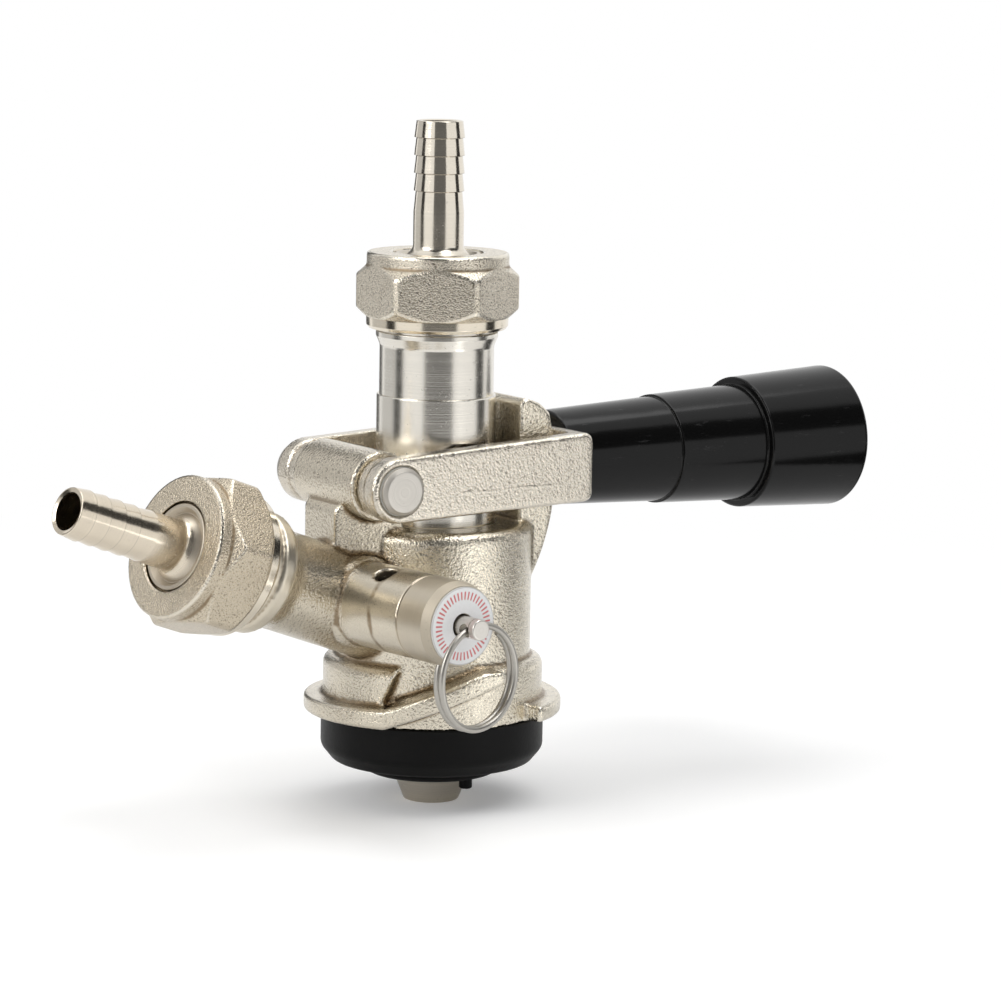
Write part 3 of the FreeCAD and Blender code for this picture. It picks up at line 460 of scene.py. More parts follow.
def eased(node, name, cell, fill_passes, held, shown_cut=None, drawn_in=None):
    """Eased copy of a solid. Held is a function that gives 1 where points stay. Each point stores its bend as
    the number edge, above 0 on outer edges, and what shown_cut gives, 1 on a machined face, as the number
    cut. Drawn_in gives the depth that points sink under another piece."""
    made = even_net(nodes[node], name, cell)
    count = len(made.data.vertices)
    points = np.zeros(count * 3)
    made.data.vertices.foreach_get("co", points)
    points = points.reshape(-1, 3)
    ends = np.zeros(len(made.data.edges) * 2, int)
    made.data.edges.foreach_get("vertices", ends)
    ends = ends.reshape(-1, 2)
    free = 1.0 - held(points)
    least = LEAST_FILL * cell
    for turn in range(fill_passes + EDGE_PASSES):
        step, _ = pull_to_neighbours(points, ends)
        if turn < fill_passes:
            normals = normals_of(made)
            rise = np.sum(step * normals, axis=1)
            step = normals * np.maximum(rise - least, 0.0)[:, None]
            step *= free[:, None]
        else:
            step *= 0.5 * np.maximum(free, LEAST_EASE)[:, None]
        points = points + step
        made.data.vertices.foreach_set("co", points.ravel())
        made.data.update()
    step, spread = pull_to_neighbours(points, ends)
    bend = -2.0 * np.sum(step * normals_of(made), axis=1) / spread
    for _ in range(BLUR_PASSES):
        blurred, _ = pull_to_neighbours(np.stack([bend] * 3, axis=1), ends)
        bend = bend + 0.5 * blurred[:, 0]
    cut = np.zeros(count) if shown_cut is None else shown_cut(points)
    if drawn_in is not None:
        sunk = points - normals_of(made) * drawn_in(points)[:, None]
        made.data.vertices.foreach_set("co", sunk.ravel())
    for title, values in (("edge", bend * PER_MILLIMETRE), ("cut", cut)):
        stored = made.data.attributes.new(title, "FLOAT", "POINT")
        stored.data.foreach_set("value", values.astype(np.float32))
    thinned(made)
    made.data.polygons.foreach_set("use_smooth", np.full(len(made.data.polygons), True))
    made.data.update()
    print(name, "faces:", len(made.data.polygons), "bend from", round(bend.min() * PER_MILLIMETRE, 2), "to",
          round(bend.max() * PER_MILLIMETRE, 2), "per mm")
    return made


# %% [markdown]
# The casting is held firm where it is machined: its bores, the inlet's flange and spout, and the relief
# valve's end. Distances from each machined axis tell which points those are.

# %% Where the casting is machined
GAS_ORIGIN = np.array([0.0, 0.0, 0.0146])
GAS_TURN = math.radians(5.0)
GAS_TILT = math.radians(20.0)
GAS_AXIS = np.array([-math.cos(GAS_TILT) * math.cos(GAS_TURN), -math.cos(GAS_TILT) * math.sin(GAS_TURN),
                     math.sin(GAS_TILT)])
GAS_SEAT = 0.0544
RELIEF_ORIGIN = np.array([-0.0210 * math.cos(GAS_TURN), -0.0210 * math.sin(GAS_TURN), 0.0229])
RELIEF_AXIS = np.array([math.sin(GAS_TURN), -math.cos(GAS_TURN), 0.0])
PIVOT = np.array([-0.018, 0.0, 0.0438])
HANDLE_LEVEL = 0.0450
BEER_SEAT = 0.0772
ACROSS = np.array([0.0, 1.0, 0.0])
OUTWARDS = np.array([1.0, 0.0, 0.0])

# Each pair is a stretch, in metres, over which a point passes from one side of a limit to the other.
CAVITY_WALL = (0.0139, 0.0146)
SPOUT_START = (0.0412, 0.0424)
GAS_WAY_WALL = (0.0060, 0.0066)
GAS_WAY_START = (0.014, 0.016)
CHAMBER_WALL = (0.0066, 0.0070)
CHAMBER_START = (0.003, 0.005)
PIN_WALL = (0.0040, 0.0044)
UNDERSIDE = (0.0001, 0.0003)
FLANGE_START = (0.0420, 0.0426)
FLANGE_RIM = (0.0125, 0.0130)
VALVE_START = (0.0088, 0.0100)
VALVE_RIM = (0.0080, 0.0084)
NECK_WALL = (0.0112, 0.0116)
VALVE_CUT = 0.8


def along_and_off(points, origin, axis):
    """Distance along an axis and distance off it, for every point."""
    away = points - origin
    along = away @ axis
    return along, np.sqrt(np.maximum(np.sum(away * away, axis=1) - along * along, 0.0))


def rising(values, low, high):
    """0 below low, 1 above high, and a straight rise between."""
    return np.clip((values - low) / (high - low), 0.0, 1.0)


def machined(points):
    """1 on the casting's bores, flange, spout and valve end, 0 on its cast skin."""
    off_probe = np.hypot(points[:, 0], points[:, 1])
    bored = 1.0 - rising(off_probe, *CAVITY_WALL)
    along, off = along_and_off(points, GAS_ORIGIN, GAS_AXIS)
    spout = rising(along, *SPOUT_START)
    way = (1.0 - rising(off, *GAS_WAY_WALL)) * rising(along, *GAS_WAY_START)
    along, off = along_and_off(points, RELIEF_ORIGIN, RELIEF_AXIS)
    chamber = (1.0 - rising(off, *CHAMBER_WALL)) * rising(along, *CHAMBER_START)
    _, off = along_and_off(points, PIVOT, ACROSS)
    pin = 1.0 - rising(off, *PIN_WALL)
    underside = 1.0 - rising(points[:, 2], *UNDERSIDE)
    return np.maximum.reduce([bored, spout, way, chamber, pin, underside])


def cut_bright(points):
    """1 where the casting shows a turned face: the inlet's end, the valve's barrel and the probe's bore."""
    along, off = along_and_off(points, GAS_ORIGIN, GAS_AXIS)
    flange = rising(along, *FLANGE_START) * (1.0 - rising(off, *FLANGE_RIM))
    along, off = along_and_off(points, RELIEF_ORIGIN, RELIEF_AXIS)
    barrel = VALVE_CUT * rising(along, *VALVE_START) * (1.0 - rising(off, *VALVE_RIM))
    off_probe = np.hypot(points[:, 0], points[:, 1])
    return np.maximum.reduce([flange, barrel, 1.0 - rising(off_probe, *NECK_WALL)])


casting = eased("body_casting", "casting_skin", CASTING_CELL, CAST_PASSES, machined, cut_bright)

# %% Lever
HUB_WALL = (0.0046, 0.0049)
TUBE_WALL = (0.0047, 0.0050)


def bushed(points):
    """1 in the lever's bores, 0 elsewhere."""
    _, off = along_and_off(points, PIVOT, ACROSS)
    _, inside = along_and_off(points, np.array([0.0, 0.0, HANDLE_LEVEL]), OUTWARDS)
    return np.maximum(1.0 - rising(off, *HUB_WALL), 1.0 - rising(inside, *TUBE_WALL))


lever = eased("lever_fork", "lever_skin", LEVER_CELL, CAST_PASSES, bushed)

# %% [markdown]
# Both union nuts are alike, so one class knows where a nut's bore, hole and lower collar lie. The net would
# round the collar's narrow bands away, so the eased nut sinks a little there, under a crisp ring.

# %% Nuts
class Nut:
    """Places on a union nut, by distance along its axis from the barb's seat and distance off it."""

    THREAD_WALL = (0.01155, 0.0118)
    COLLAR_TOP = (-0.0049, -0.0046)
    COLLAR_HELD = 0.85
    SUNK_TOP = (-0.0050, -0.0046)
    SUNK_WALL = (0.0118, 0.0121)
    SUNK_DEPTH = 0.0002
    BORE_TOP = (0.0054, 0.0058)
    HOLE_WALL = (0.0082, 0.0085)

    def __init__(self, origin, axis, seat):
        self.origin = origin
        self.axis = axis
        self.seat = seat

    def reach(self, points):
        """Distance past the barb's seat and distance off the axis, for every point."""
        along, off = along_and_off(points, self.origin, self.axis)
        return along - self.seat, off

    def held(self, points):
        """1 in the bore and hole, and nearly 1 on the lower collar, whose edges stay sharp."""
        along, off = self.reach(points)
        collar = self.COLLAR_HELD - self.COLLAR_HELD * rising(along, *self.COLLAR_TOP)
        return np.maximum(1.0 - rising(off, *self.THREAD_WALL), collar)

    def cut(self, points):
        """1 on the lower collar, which is turned bright, and in the bore and hole."""
        along, off = self.reach(points)
        bore = (1.0 - rising(off, *self.SUNK_WALL)) * (1.0 - rising(along, *self.BORE_TOP))
        hole = 1.0 - rising(off, *self.HOLE_WALL)
        return np.maximum.reduce([1.0 - rising(along, *self.COLLAR_TOP), bore, hole])

    def depth(self, points):
        """How far the lower collar sinks, to make room for its bright ring."""
        along, off = self.reach(points)
        return self.SUNK_DEPTH * (1.0 - rising(along, *self.SUNK_TOP)) * rising(off, *self.SUNK_WALL)

    def skin(self, node, name):
        """Eased copy of the nut's solid."""
        return eased(node, name, NUT_CELL, FORGED_PASSES, self.held, self.cut, self.depth)


PROBE_ORIGIN = np.array([0.0, 0.0, 0.0])
PROBE_AXIS = np.array([0.0, 0.0, 1.0])
on_probe = Nut(PROBE_ORIGIN, PROBE_AXIS, BEER_SEAT)
on_gas_arm = Nut(GAS_ORIGIN, GAS_AXIS, GAS_SEAT)
beer_nut = on_probe.skin("beer_hex_nut", "beer_nut_skin")
gas_nut = on_gas_arm.skin("gas_hex_nut", "gas_nut_skin")

# %% Bright collars
# Each corner is a distance off the nut's axis and a distance past the barb's seat.
COLLAR_CORNERS = [
    (0.01205, -0.0066), (0.01245, -0.00678), (0.01288, -0.0062), (0.01296, -0.0042), (0.01205, -0.0042)]
CORNER_NEAR = 0.00002
CORNER_FAR = 0.00006
COLLAR_STEPS = 128


def crisp(corners):
    """Profile with points just before and after each corner, so that smooth shading keeps it sharp."""
    start = np.array(corners)
    run = np.roll(start, -1, axis=0) - start
    run /= np.linalg.norm(run, axis=1)[:, None]
    end = np.roll(start, -1, axis=0)
    beside = [start + run * CORNER_NEAR, start + run * CORNER_FAR,
              end - run * CORNER_FAR, end - run * CORNER_NEAR]
    return np.stack(beside, axis=1).reshape(-1, 2)


def carried_round(name, profile, origin, axis):
    """Closed ring: a closed profile of distances off an axis and along it, carried round that axis."""
    side = np.cross(axis, ACROSS)
    side /= np.linalg.norm(side)
    other = np.cross(axis, side)
    turns = np.linspace(0.0, 2.0 * np.pi, COLLAR_STEPS, endpoint=False)
    spoke = np.cos(turns)[:, None] * side + np.sin(turns)[:, None] * other
    off, along = profile.T
    points = origin + off[:, None, None] * spoke + (along[:, None] * axis)[:, None, :]
    return mesh_object(name, points.reshape(-1, 3), grid_faces(len(profile), COLLAR_STEPS, True, True))


def bright_collar(name, nut):
    """The nut's turned lower collar as a ring of its own, a hair proud of the eased nut."""
    profile = crisp(COLLAR_CORNERS)
    profile[:, 1] += nut.seat
    return carried_round(name, profile, nut.origin, nut.axis)


beer_collar = bright_collar("beer_nut_collar", on_probe)
gas_collar = bright_collar("gas_nut_collar", on_gas_arm)

for skin, node, body, finish_slot in (
        (casting, "body_casting", "body", "cast"), (lever, "lever_fork", "lever", "cast"),
        (beer_nut, "beer_hex_nut", "beer_nut", "nut"), (gas_nut, "gas_hex_nut", "gas_nut", "nut"),
        (beer_collar, "beer_hex_nut", "beer_nut", "nut"), (gas_collar, "gas_hex_nut", "gas_nut", "nut")):
    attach(skin, body)
    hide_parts(node)
print("four eased skins and two collars stand for their solids")

# %% [markdown]
# ## Cast nickel
# The casting is brass under nickel: a warm silver with the fine sparkle of blasted metal. Its skin is noise
# of three sizes: lumps a millimetre and a half wide, grains a third of that or less, and a finer one over
# them. The pits between grains are painted darker, as shade. Worn edges lose the grain and are painted
# lighter, as rubbed metal with a painted highlight, and hollow corners hold a brown film that is darkened
# further as painted shade. The stored bend tells where.

# %% Cast finish
LUMPS_PER_METRE = 640.0
CLOUDS_PER_METRE = 95.0
# Hollow corners, by their bend, and their colour: a brown film, darker as painted shade.
HOLLOW_SHADE_BEND = (0.08, 0.55)
BROWN_FILM_AND_SHADE = colour(0.25, 0.18, 0.105)
# Colour of the pits between grains: painted shade.
PIT_SHADE_COLOUR = colour(0.27, 0.225, 0.17)
# Colour of outer edges: rubbed metal, made lighter as a painted highlight.
RUBBED_AND_HIGHLIGHT = colour(0.88, 0.84, 0.75)


def cast_nickel(name, grain_depth, tint, shine, cut_shine, grain, lump, pit_shade, rubbed_highlight=(0.40, 1.2),
                stains=None, raised=None):
    """Nickel over cast brass. The depth of its grain is in metres, tint is its colour, shine and cut_shine
    are its roughness as cast and where turned, grain counts grains per metre, lump weighs the broad lumps and
    the pits' weight is how darkly the pits between grains are painted, as shade. The rubbed pair is the bend
    at which an edge begins to be painted lighter, as rubbed metal with a painted highlight, and the bend of a
    fully lightened one. Stains and raised are functions that give more brown film and more height."""
    metal = Finish(name)
    place = metal.place()
    edge = metal.add("Attribute", {"attribute_name": "edge"}, {}, "Fac")
    cut = metal.add("Attribute", {"attribute_name": "cut"}, {}, "Fac")
    cast = 1.0 - cut
    # Outer edges: rubbed smoother, and lighter in colour as a painted highlight.
    worn_and_highlit = edge.step(*rubbed_highlight) * cast
    # Hollow corners: a brown film, with painted shade darkening them further.
    hollow_shade = (edge * -1.0).step(*HOLLOW_SHADE_BEND) * (1.0 - cut * 0.5)
    lumps = metal.noise(place, LUMPS_PER_METRE, 2.0, 0.5)
    grains = metal.noise(place, grain, 2.0, 0.5)
    fine = metal.noise(place, grain * 2.1, 2.0, 0.6)
    cloud = metal.noise(place, CLOUDS_PER_METRE, 3.0, 0.6)
    film_and_shade = hollow_shade + cloud.step(0.55, 0.75) * 0.18 * cast
    if stains is not None:
        film_and_shade = film_and_shade + stains(metal, place)
    film_and_shade = film_and_shade.clamped()
    # Low spots of the grain, painted darker as shade in the pits.
    shaded_pits = (0.42 - grains).step(0.0, 0.12) * cast
    clean = metal.mix(cloud, shade_of(tint, 0.93), shade_of(tint, 1.06))
    aged_and_shaded = metal.mix(film_and_shade * 0.9, clean, BROWN_FILM_AND_SHADE)
    pit_shaded = metal.mix(shaded_pits * pit_shade, aged_and_shaded, PIT_SHADE_COLOUR)
    painted = metal.mix(worn_and_highlit * 0.5, pit_shaded, RUBBED_AND_HIGHLIGHT)
    ground = shine + (fine - 0.5) * 0.2 + film_and_shade * 0.12 - worn_and_highlit * (shine - 0.10)
    rough = ground * cast + cut * (cut_shine + (fine - 0.5) * 0.2)
    height = (lumps * lump + grains + fine * 0.25) * (1.0 - worn_and_highlit * 0.75) * (cast * 0.97 + 0.03)
    if raised is not None:
        height = height + raised(metal, place)
    relief = metal.bump(height, grain_depth)
    return metal.surface(Base_Color=painted, Metallic=1.0, Roughness=rough.clamped(), Normal=relief)


def about_axis(finish, place, origin, axis):
    """Distance along an axis and distance off it, as values of a finish."""
    away = finish.add("VectorMath", {"operation": "SUBTRACT"}, {0: place, 1: tuple(origin)}, "Vector")
    along = finish.add("VectorMath", {"operation": "DOT_PRODUCT"}, {0: away, 1: tuple(axis)}, "Value")
    whole = finish.add("VectorMath", {"operation": "LENGTH"}, {0: away}, "Value")
    square = whole * whole - along * along
    return along, square.math("MAXIMUM", square, 0.0) ** 0.5


# %% Stains and the parting line
RING_PLACE = 0.0169
RING_FADE = (0.00015, 0.00090)
BARREL_END = (0.0250, 0.0253)
BARREL_START = (0.010, 0.012)
INLET_SIDE = (0.004, 0.024)
PARTING_HEIGHT = 0.0426
PARTING_FADE = (0.00005, 0.00040)


def casting_stains(metal, place):
    """Film that thickens towards the gas inlet, and a brown ring on the valve's barrel just past its vent."""
    along, off = about_axis(metal, place, RELIEF_ORIGIN, RELIEF_AXIS)
    wander = metal.noise(place, 260.0, 3.0, 0.6)
    ring = 1.0 - (along - RING_PLACE - wander * 0.0014).size().step(*RING_FADE)
    rim = along.step(*BARREL_END)
    barrel = off.step(*CHAMBER_WALL) * (1.0 - off.step(*VALVE_RIM)) * along.step(*BARREL_START)
    east, _, _ = metal.parts(place)
    inlet = (east * -1.0).step(*INLET_SIDE)
    return barrel * (ring * wander.step(0.30, 0.60) * 0.8 + rim * 0.6) + inlet * 0.20


def parting_line(metal, place):
    """Faint line that the mould's two halves leave along the lever's arms."""
    _, _, height = metal.parts(place)
    wander = metal.noise(place, 90.0, 3.0, 0.6)
    line = 1.0 - (height - PARTING_HEIGHT - (wander - 0.5) * 0.0008).size().step(*PARTING_FADE)
    return line * wander.step(0.38, 0.56) * 0.5


cast_finish = cast_nickel(
    "cast_nickel", grain_depth=0.00016, tint=(0.78, 0.72, 0.60), shine=0.10, cut_shine=0.34,
    grain=2250.0, lump=0.40, pit_shade=0.70, stains=casting_stains)
lever_finish = cast_nickel(
    "cast_nickel_lever", grain_depth=0.00015, tint=(0.72, 0.665, 0.57), shine=0.12, cut_shine=0.30,
    grain=2400.0, lump=0.40, pit_shade=0.45, raised=parting_line)
nut_finish = cast_nickel(
    "forged_nickel", grain_depth=0.00013, tint=(0.72, 0.66, 0.55), shine=0.24, cut_shine=0.14,
    grain=3300.0, lump=0.10, pit_shade=1.2, rubbed_highlight=(0.26, 0.90))
# Same forged nickel as the beer nut, with a darker tint as painted shade: the gas nut's faces show a darker
# reflection.
gas_nut_shaded_finish = cast_nickel(
    "forged_nickel_gas_shaded", grain_depth=0.00020, tint=(0.62, 0.545, 0.425), shine=0.24, cut_shine=0.14,
    grain=3000.0, lump=0.10, pit_shade=1.0, rubbed_highlight=(0.35, 1.1))
for skin, finish in ((casting, cast_finish), (lever, lever_finish), (beer_nut, nut_finish),
                     (gas_nut, gas_nut_shaded_finish)):
    skin.data.materials.append(finish)
print("cast and forged finishes made")

# %% [markdown]
# ## Turned metal
# A lathe leaves fine rings round the axis. Along the axis the surface rises and falls by a few hundredths of
# a millimetre at most, which smears a highlight along the piece. The rings are noise of one number, the
# distance along the axis, or on a flat end the distance off it.

# %% Turned finish
SPECK_LEVEL = (0.66, 0.74)
# Colour of dirt specks, of the painted shade under barb ridges and at the dulled ends, and of the darker
# flare.
DIRT_AND_SHADE = colour(0.28, 0.25, 0.21)
DULL_BLEND = 0.0001
# Width of the painted shade line under each ridge, as a share of the distance between ridges.
RIDGE_SHADE_LINE = (0.015, 0.05)
BARB_WALL = (0.0038, 0.0040)
FLARE_WALL = (0.0050, 0.0058)


def turned(name, origin, axis, tint, shine, lines=4200.0, depth=0.000006, streak=0.05, waves=0.0, spread=0.09,
           end_face=False, ridges=None, dull_shaded=None):
    """Lathe-turned metal about an axis through origin. Lines counts the rings per metre, depth is theirs in
    metres, streak and spread are how much roughness and colour change from ring to ring, and waves adds a
    slow sway. Ridges are the place of a barb's first ridge along the axis, the distance between ridges and
    their number: a thin line under each is painted dark as shade, and the flare below is darker and less
    polished. The dull pair gives two distances along the axis, or off it on an end face: the surface is
    rougher before the first and past the second, and painted darker there as shade."""
    metal = Finish(name)
    place = metal.place()
    along, off = about_axis(metal, place, origin, axis)
    across = off if end_face else along + off * 0.6
    fine = metal.rings(across, lines, 3.0)
    broad = metal.rings(across, lines * 0.12, 2.0)
    specks = metal.noise(place, 1500.0, 2.0, 0.5).step(*SPECK_LEVEL)
    shade = metal.mix(fine * 0.6 + broad * 0.4, shade_of(tint, 1.0 - spread), shade_of(tint, 1.0 + spread))
    dirt_and_shade = specks * 0.12
    rough = shine + (fine - 0.5) * streak + (broad - 0.5) * streak + specks * 0.1
    if dull_shaded is not None:
        # Before the first distance and past the second the metal is rougher and painted darker, as shade in
        # place of the highlight an end or rim would show.
        start, end = dull_shaded
        reach = off if end_face else along
        past_end = reach.step(end - DULL_BLEND, end + DULL_BLEND)
        past_start = reach.step(start - DULL_BLEND, start + DULL_BLEND)
        dulled_and_shaded = past_end + (1.0 - past_start)
        dirt_and_shade = dirt_and_shade + dulled_and_shaded * 0.2
        rough = rough + dulled_and_shaded * 0.2
    if ridges is not None:
        first, pitch, count = ridges
        number = (first - along) * (1.0 / pitch) + 0.5
        # A thin line under each ridge, painted dark as the shade where the ridge's rim hides the step below.
        line = 1.0 - (number.math("FRACT", number) - 0.5).size().step(*RIDGE_SHADE_LINE)
        barb = number.step(0.0, 0.01) * (1.0 - number.step(count - 0.01, count)) * off.step(*BARB_WALL)
        flare = off.step(*FLARE_WALL)
        dirt_and_shade = dirt_and_shade + line * barb * 0.75 + flare * 0.30
        rough = rough + flare * 0.16 + (number - count).step(0.0, 1.5) * 0.08
    marked = metal.mix(dirt_and_shade, shade, DIRT_AND_SHADE)
    sway = metal.noise(place, 420.0, 2.0, 0.5)
    relief = metal.bump(fine + broad * 0.8 + sway * waves, depth)
    return metal.surface(Base_Color=marked, Metallic=1.0, Roughness=rough.clamped(), Normal=relief)


# %% Turned pieces
FIRST_RIDGE = 0.02755
BARB_PITCH = 0.0032
BARB_COUNT = 4
COLLAR_TINT = (0.78, 0.71, 0.59)

about_probe = (PROBE_ORIGIN, PROBE_AXIS)
about_gas_arm = (GAS_ORIGIN, GAS_AXIS)
about_valve = (RELIEF_ORIGIN, RELIEF_AXIS)
barb_ridges = (BEER_SEAT + FIRST_RIDGE, BARB_PITCH, BARB_COUNT)
gas_barb_ridges = (GAS_SEAT + FIRST_RIDGE, BARB_PITCH, BARB_COUNT)

probe_finish = turned(
    "turned_stainless", *about_probe, tint=(0.78, 0.745, 0.675), shine=0.22, depth=0.000008, waves=1.5)
tip_finish = turned(
    "brushed_stainless", *about_probe, tint=(0.80, 0.74, 0.64), shine=0.18, depth=0.000012, spread=0.25)
beer_barb_finish = turned(
    "polished_nickel_beer", *about_probe, tint=(0.78, 0.72, 0.62), shine=0.12, depth=0.000003, waves=5.0,
    ridges=barb_ridges)
gas_barb_finish = turned(
    "polished_nickel_gas", *about_gas_arm, tint=(0.72, 0.64, 0.52), shine=0.17, depth=0.000003, waves=8.0,
    ridges=gas_barb_ridges)
beer_collar_finish = turned("turned_nickel_beer", *about_probe, tint=COLLAR_TINT, shine=0.15, waves=2.0)
gas_collar_finish = turned("turned_nickel_gas", *about_gas_arm, tint=COLLAR_TINT, shine=0.13, waves=4.0)
beer_collar.data.materials.append(beer_collar_finish)
gas_collar.data.materials.append(gas_collar_finish)
cap_finish = turned(
    "satin_nickel_cap", *about_valve, tint=(0.60, 0.54, 0.44), shine=0.40, depth=0.000010,
    dull_shaded=(0.0257, 0.0322))
stem_finish = turned("satin_stem", *about_valve, tint=(0.68, 0.65, 0.60), shine=0.30)
pin_finish = turned(
    "satin_pin", PIVOT, ACROSS, tint=(0.62, 0.59, 0.54), shine=0.36, lines=1500.0, depth=0.00006, streak=0.3,
    spread=0.3, end_face=True, dull_shaded=(-0.001, 0.00365))
print("turned finishes made")

# %% [markdown]
# ## Drawn wire, balls and fibre
# The pull ring and the springs are drawn steel wire: smooth, with faint draw marks and a few scuffs.
# Washers are white fibre, the cage and the bushes are moulded plastic, and the ball is ground steel.

# %% Wire and small parts
DRAW_MARK_DEPTH = 0.000006


def wire_steel(name, tint, shine):
    """Drawn steel wire with faint scuffs."""
    metal = Finish(name)
    place = metal.place()
    marks = metal.noise(place, 1900.0, 3.0, 0.6)
    scuffs = metal.noise(place, 420.0, 2.0, 0.5).step(0.58, 0.72)
    painted = metal.mix(marks, shade_of(tint, 0.9), shade_of(tint, 1.06))
    relief = metal.bump(marks, DRAW_MARK_DEPTH)
    rough = shine + (marks - 0.5) * 0.1 + scuffs * 0.12
    return metal.surface(Base_Color=painted, Metallic=1.0, Roughness=rough, Normal=relief)


def moulded(name, tint, shine, grain, depth, gleam=0.5):
    """Moulded plastic, rubber or fibre: one colour that drifts a little, over a fine skin. Grain counts the
    skin's grains per metre, and gleam is how strongly it mirrors."""
    skin = Finish(name)
    place = skin.place()
    drift = skin.noise(place, 160.0, 3.0, 0.55)
    fine = skin.noise(place, grain, 2.0, 0.5)
    painted = skin.mix(drift, shade_of(tint, 0.85), shade_of(tint, 1.12))
    relief = skin.bump(fine, depth)
    return skin.surface(Base_Color=painted, Roughness=shine + (fine - 0.5) * 0.12, Normal=relief,
                        Specular_IOR_Level=gleam)


ring_finish = wire_steel("drawn_wire", (0.47, 0.45, 0.41), 0.34)
ball_finish = wire_steel("ground_ball", (0.75, 0.75, 0.76), 0.12)
fibre_finish = moulded("white_fibre", (0.80, 0.79, 0.74), 0.7, 2400.0, 0.00004)
cage_finish = moulded("off_white_plastic", (0.78, 0.78, 0.74), 0.45, 1200.0, 0.00001)
valve_finish = moulded("grey_rubber", (0.12, 0.12, 0.125), 0.6, 1800.0, 0.00002)
rubber_finish = moulded("black_rubber", (0.004, 0.004, 0.004), 0.42, 1500.0, 0.00002, 0.12)
print("small finishes made")

# %% [markdown]
# ## The grip
# The grip is moulded in one glossy black plastic. Use leaves faint scuffs along it and specks of dust, and
# the surface is never quite true, so a reflection on it wavers a little.

# %% Grip finish
GRIP_WAVE_DEPTH = 0.00002

gloss = Finish("gloss_black")
place = gloss.place()
x, y, z = gloss.parts(place)
sway = gloss.noise(place, 60.0, 2.0, 0.5)
drawn = gloss.add("CombineXYZ", {}, {"X": x * 0.18, "Y": y, "Z": z}, "Vector")
scuffs = gloss.noise(drawn, 900.0, 4.0, 0.7).step(0.60, 0.78)
specks = gloss.add("TexVoronoi", {"feature": "F1"}, {"Vector": place, "Scale": 330.0}, "Distance")
dust = (1.0 - specks.step(0.02, 0.07)) * gloss.noise(place, 75.0, 2.0, 0.5).step(0.5, 0.62)
painted = gloss.mix(scuffs * 0.35 + dust * 0.5, colour(0.0035, 0.0035, 0.0035), colour(0.07, 0.07, 0.07))
relief = gloss.bump(sway * 6.0 + scuffs * 0.12 + dust * 0.3, GRIP_WAVE_DEPTH)
grip_finish = gloss.surface(Base_Color=painted, Roughness=0.15 + scuffs * 0.22 + dust * 0.3, Normal=relief,
                            Specular_IOR_Level=0.22)
print("grip finish made")

# %% [markdown]
# ## The relief valve's disc
# A white disc lies on the valve's face, with plain red ticks round its rim like those of a dial. The angle
# round the disc is cut into equal parts, and a tick is red where the angle is near the middle of a part and
# the distance off the axis is in a band.

# %% Disc finish
TICKS = 44.0
TICK_SIDE = (0.16, 0.24)
BAND_INNER = (0.00455, 0.00470)
BAND_OUTER = (0.00595, 0.00610)
DISC_RIM = (0.00662, 0.00670)
DISC_SIDE = (math.cos(GAS_TURN), math.sin(GAS_TURN), 0.0)
PRINT_RED = colour(0.62, 0.05, 0.05)
WORN_RIM = colour(0.45, 0.44, 0.42)

disc = Finish("printed_disc")
place = disc.place()
away = disc.add("VectorMath", {"operation": "SUBTRACT"}, {0: place, 1: tuple(RELIEF_ORIGIN)}, "Vector")
sideways = disc.add("VectorMath", {"operation": "DOT_PRODUCT"}, {0: away, 1: DISC_SIDE}, "Value")
_, _, height = disc.parts(away)
off = (sideways * sideways + height * height) ** 0.5
turn = disc.add("Math", {"operation": "ARCTAN2"}, {0: height, 1: sideways}) * (TICKS / (2.0 * math.pi))
part = turn.math("FRACT", turn + TICKS)
tick = 1.0 - (part - 0.5).size().step(*TICK_SIDE)
band = off.step(*BAND_INNER) * (1.0 - off.step(*BAND_OUTER))
grain = disc.noise(place, 1800.0, 2.0, 0.5)
white = disc.mix(grain, colour(0.84, 0.84, 0.84), colour(0.92, 0.92, 0.92))
printed = disc.mix(tick * band * 0.85, white, PRINT_RED)
rimmed = disc.mix(off.step(*DISC_RIM) * 0.6, printed, WORN_RIM)
relief = disc.bump(grain, 0.00001)
disc_finish = disc.surface(Base_Color=rimmed, Roughness=0.45, Normal=relief)
print("disc finish made")

# %% [markdown]
# ## Every solid gets its finish
# The rest of the solids are shown as they are, each with the finish of its own stuff.

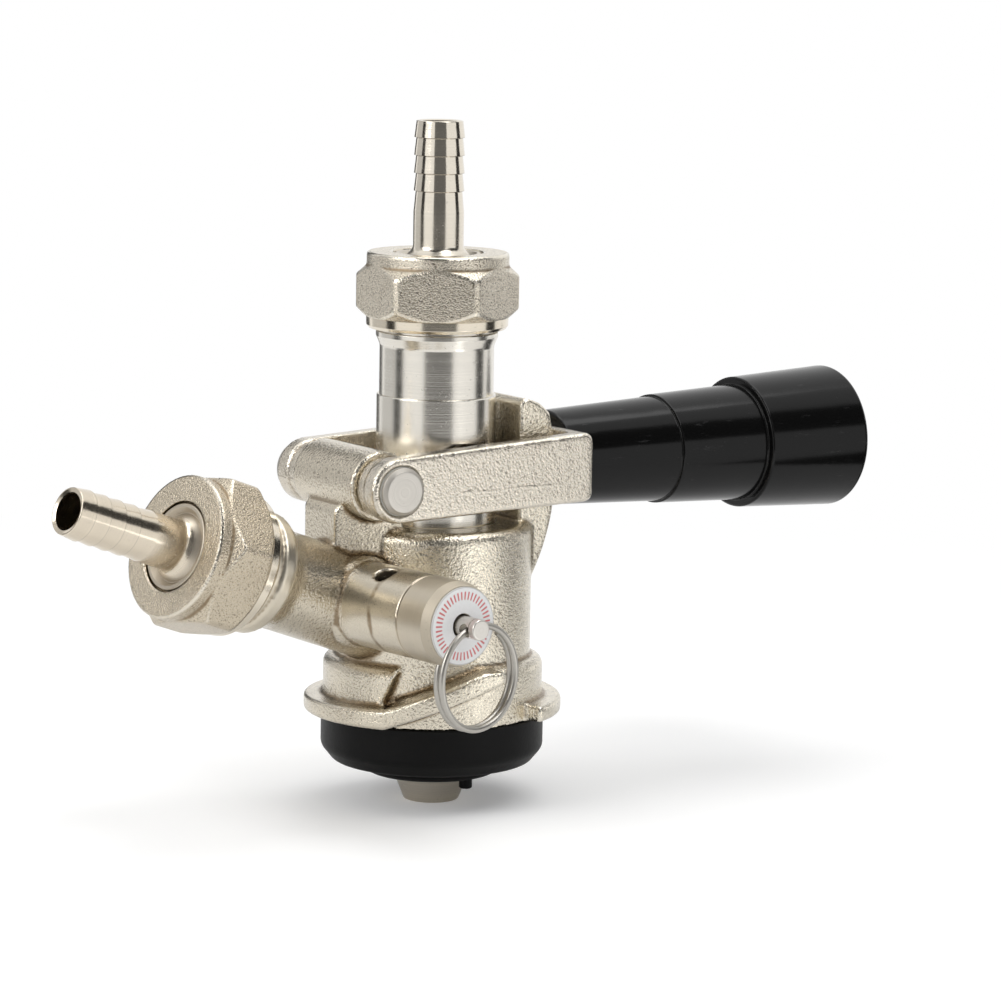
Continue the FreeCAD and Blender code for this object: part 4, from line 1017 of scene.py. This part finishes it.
# %% Finishes on the solids
finishes = {
    "body_casting": cast_finish, "lever_fork": lever_finish,
    "beer_hex_nut": nut_finish, "gas_hex_nut": gas_nut_shaded_finish,
    "relief_cap": cap_finish, "relief_label": disc_finish, "relief_stem": stem_finish,
    "pull_ring": ring_finish, "relief_spring": ring_finish, "handle_spring": ring_finish,
    "pin_snap_ring": ring_finish, "grip_nut": ring_finish, "pivot_pin": pin_finish,
    "probe_tube": probe_finish, "probe_tip": tip_finish,
    "handle_tube": probe_finish, "locking_plunger": probe_finish,
    "beer_tailpiece": beer_barb_finish, "gas_tailpiece": gas_barb_finish,
    "handle_grip": grip_finish, "grip_end_plug": grip_finish,
    "body_seal": rubber_finish, "probe_seal": rubber_finish, "neck_o_ring": rubber_finish,
    "probe_o_ring": rubber_finish, "relief_seal": rubber_finish, "gas_check_valve": valve_finish,
    "gas_washer": fibre_finish, "beer_washer": fibre_finish,
    "pivot_bushes": cage_finish, "ball_cage": cage_finish, "check_ball": ball_finish,
}
for node, finish in finishes.items():
    materials = nodes[node].data.materials
    for index in range(len(materials)):
        materials[index] = finish
    if not len(materials):
        materials.append(finish)
print("solids without a finish:", sorted(set(nodes) - set(finishes)))

# %% [markdown]
# ## Springs
# Both coil springs are squeezed when their joint moves. A copy of each rides the body that holds its fixed
# end, in place of the spring's own solid, which is hidden. What is left of a spring at the joint's limit is
# its length less the joint's travel, as a share of its length.

# %% Springs
HANDLE_SPRING_END = (0.0579, 0.0, HANDLE_LEVEL)
RELIEF_SPRING_END = tuple(RELIEF_ORIGIN + RELIEF_AXIS * 0.03165)

# Each spring has the body that it rides, its joint, axis and fixed end, and the joint's travel in metres.
SPRINGS = {
    "handle_spring": ("lever", "grip_slide", (1.0, 0.0, 0.0), HANDLE_SPRING_END, 0.006),
    "relief_spring": ("body", "relief_pull", tuple(RELIEF_AXIS), RELIEF_SPRING_END, 0.003),
}
for node, (body, joint, axis, fixed_end, travel) in SPRINGS.items():
    coil = bpy.data.objects.new(node + "_coil", nodes[node].data.copy())
    scene.collection.objects.link(coil)
    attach(coil, body)
    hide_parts(node)
    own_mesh(coil)
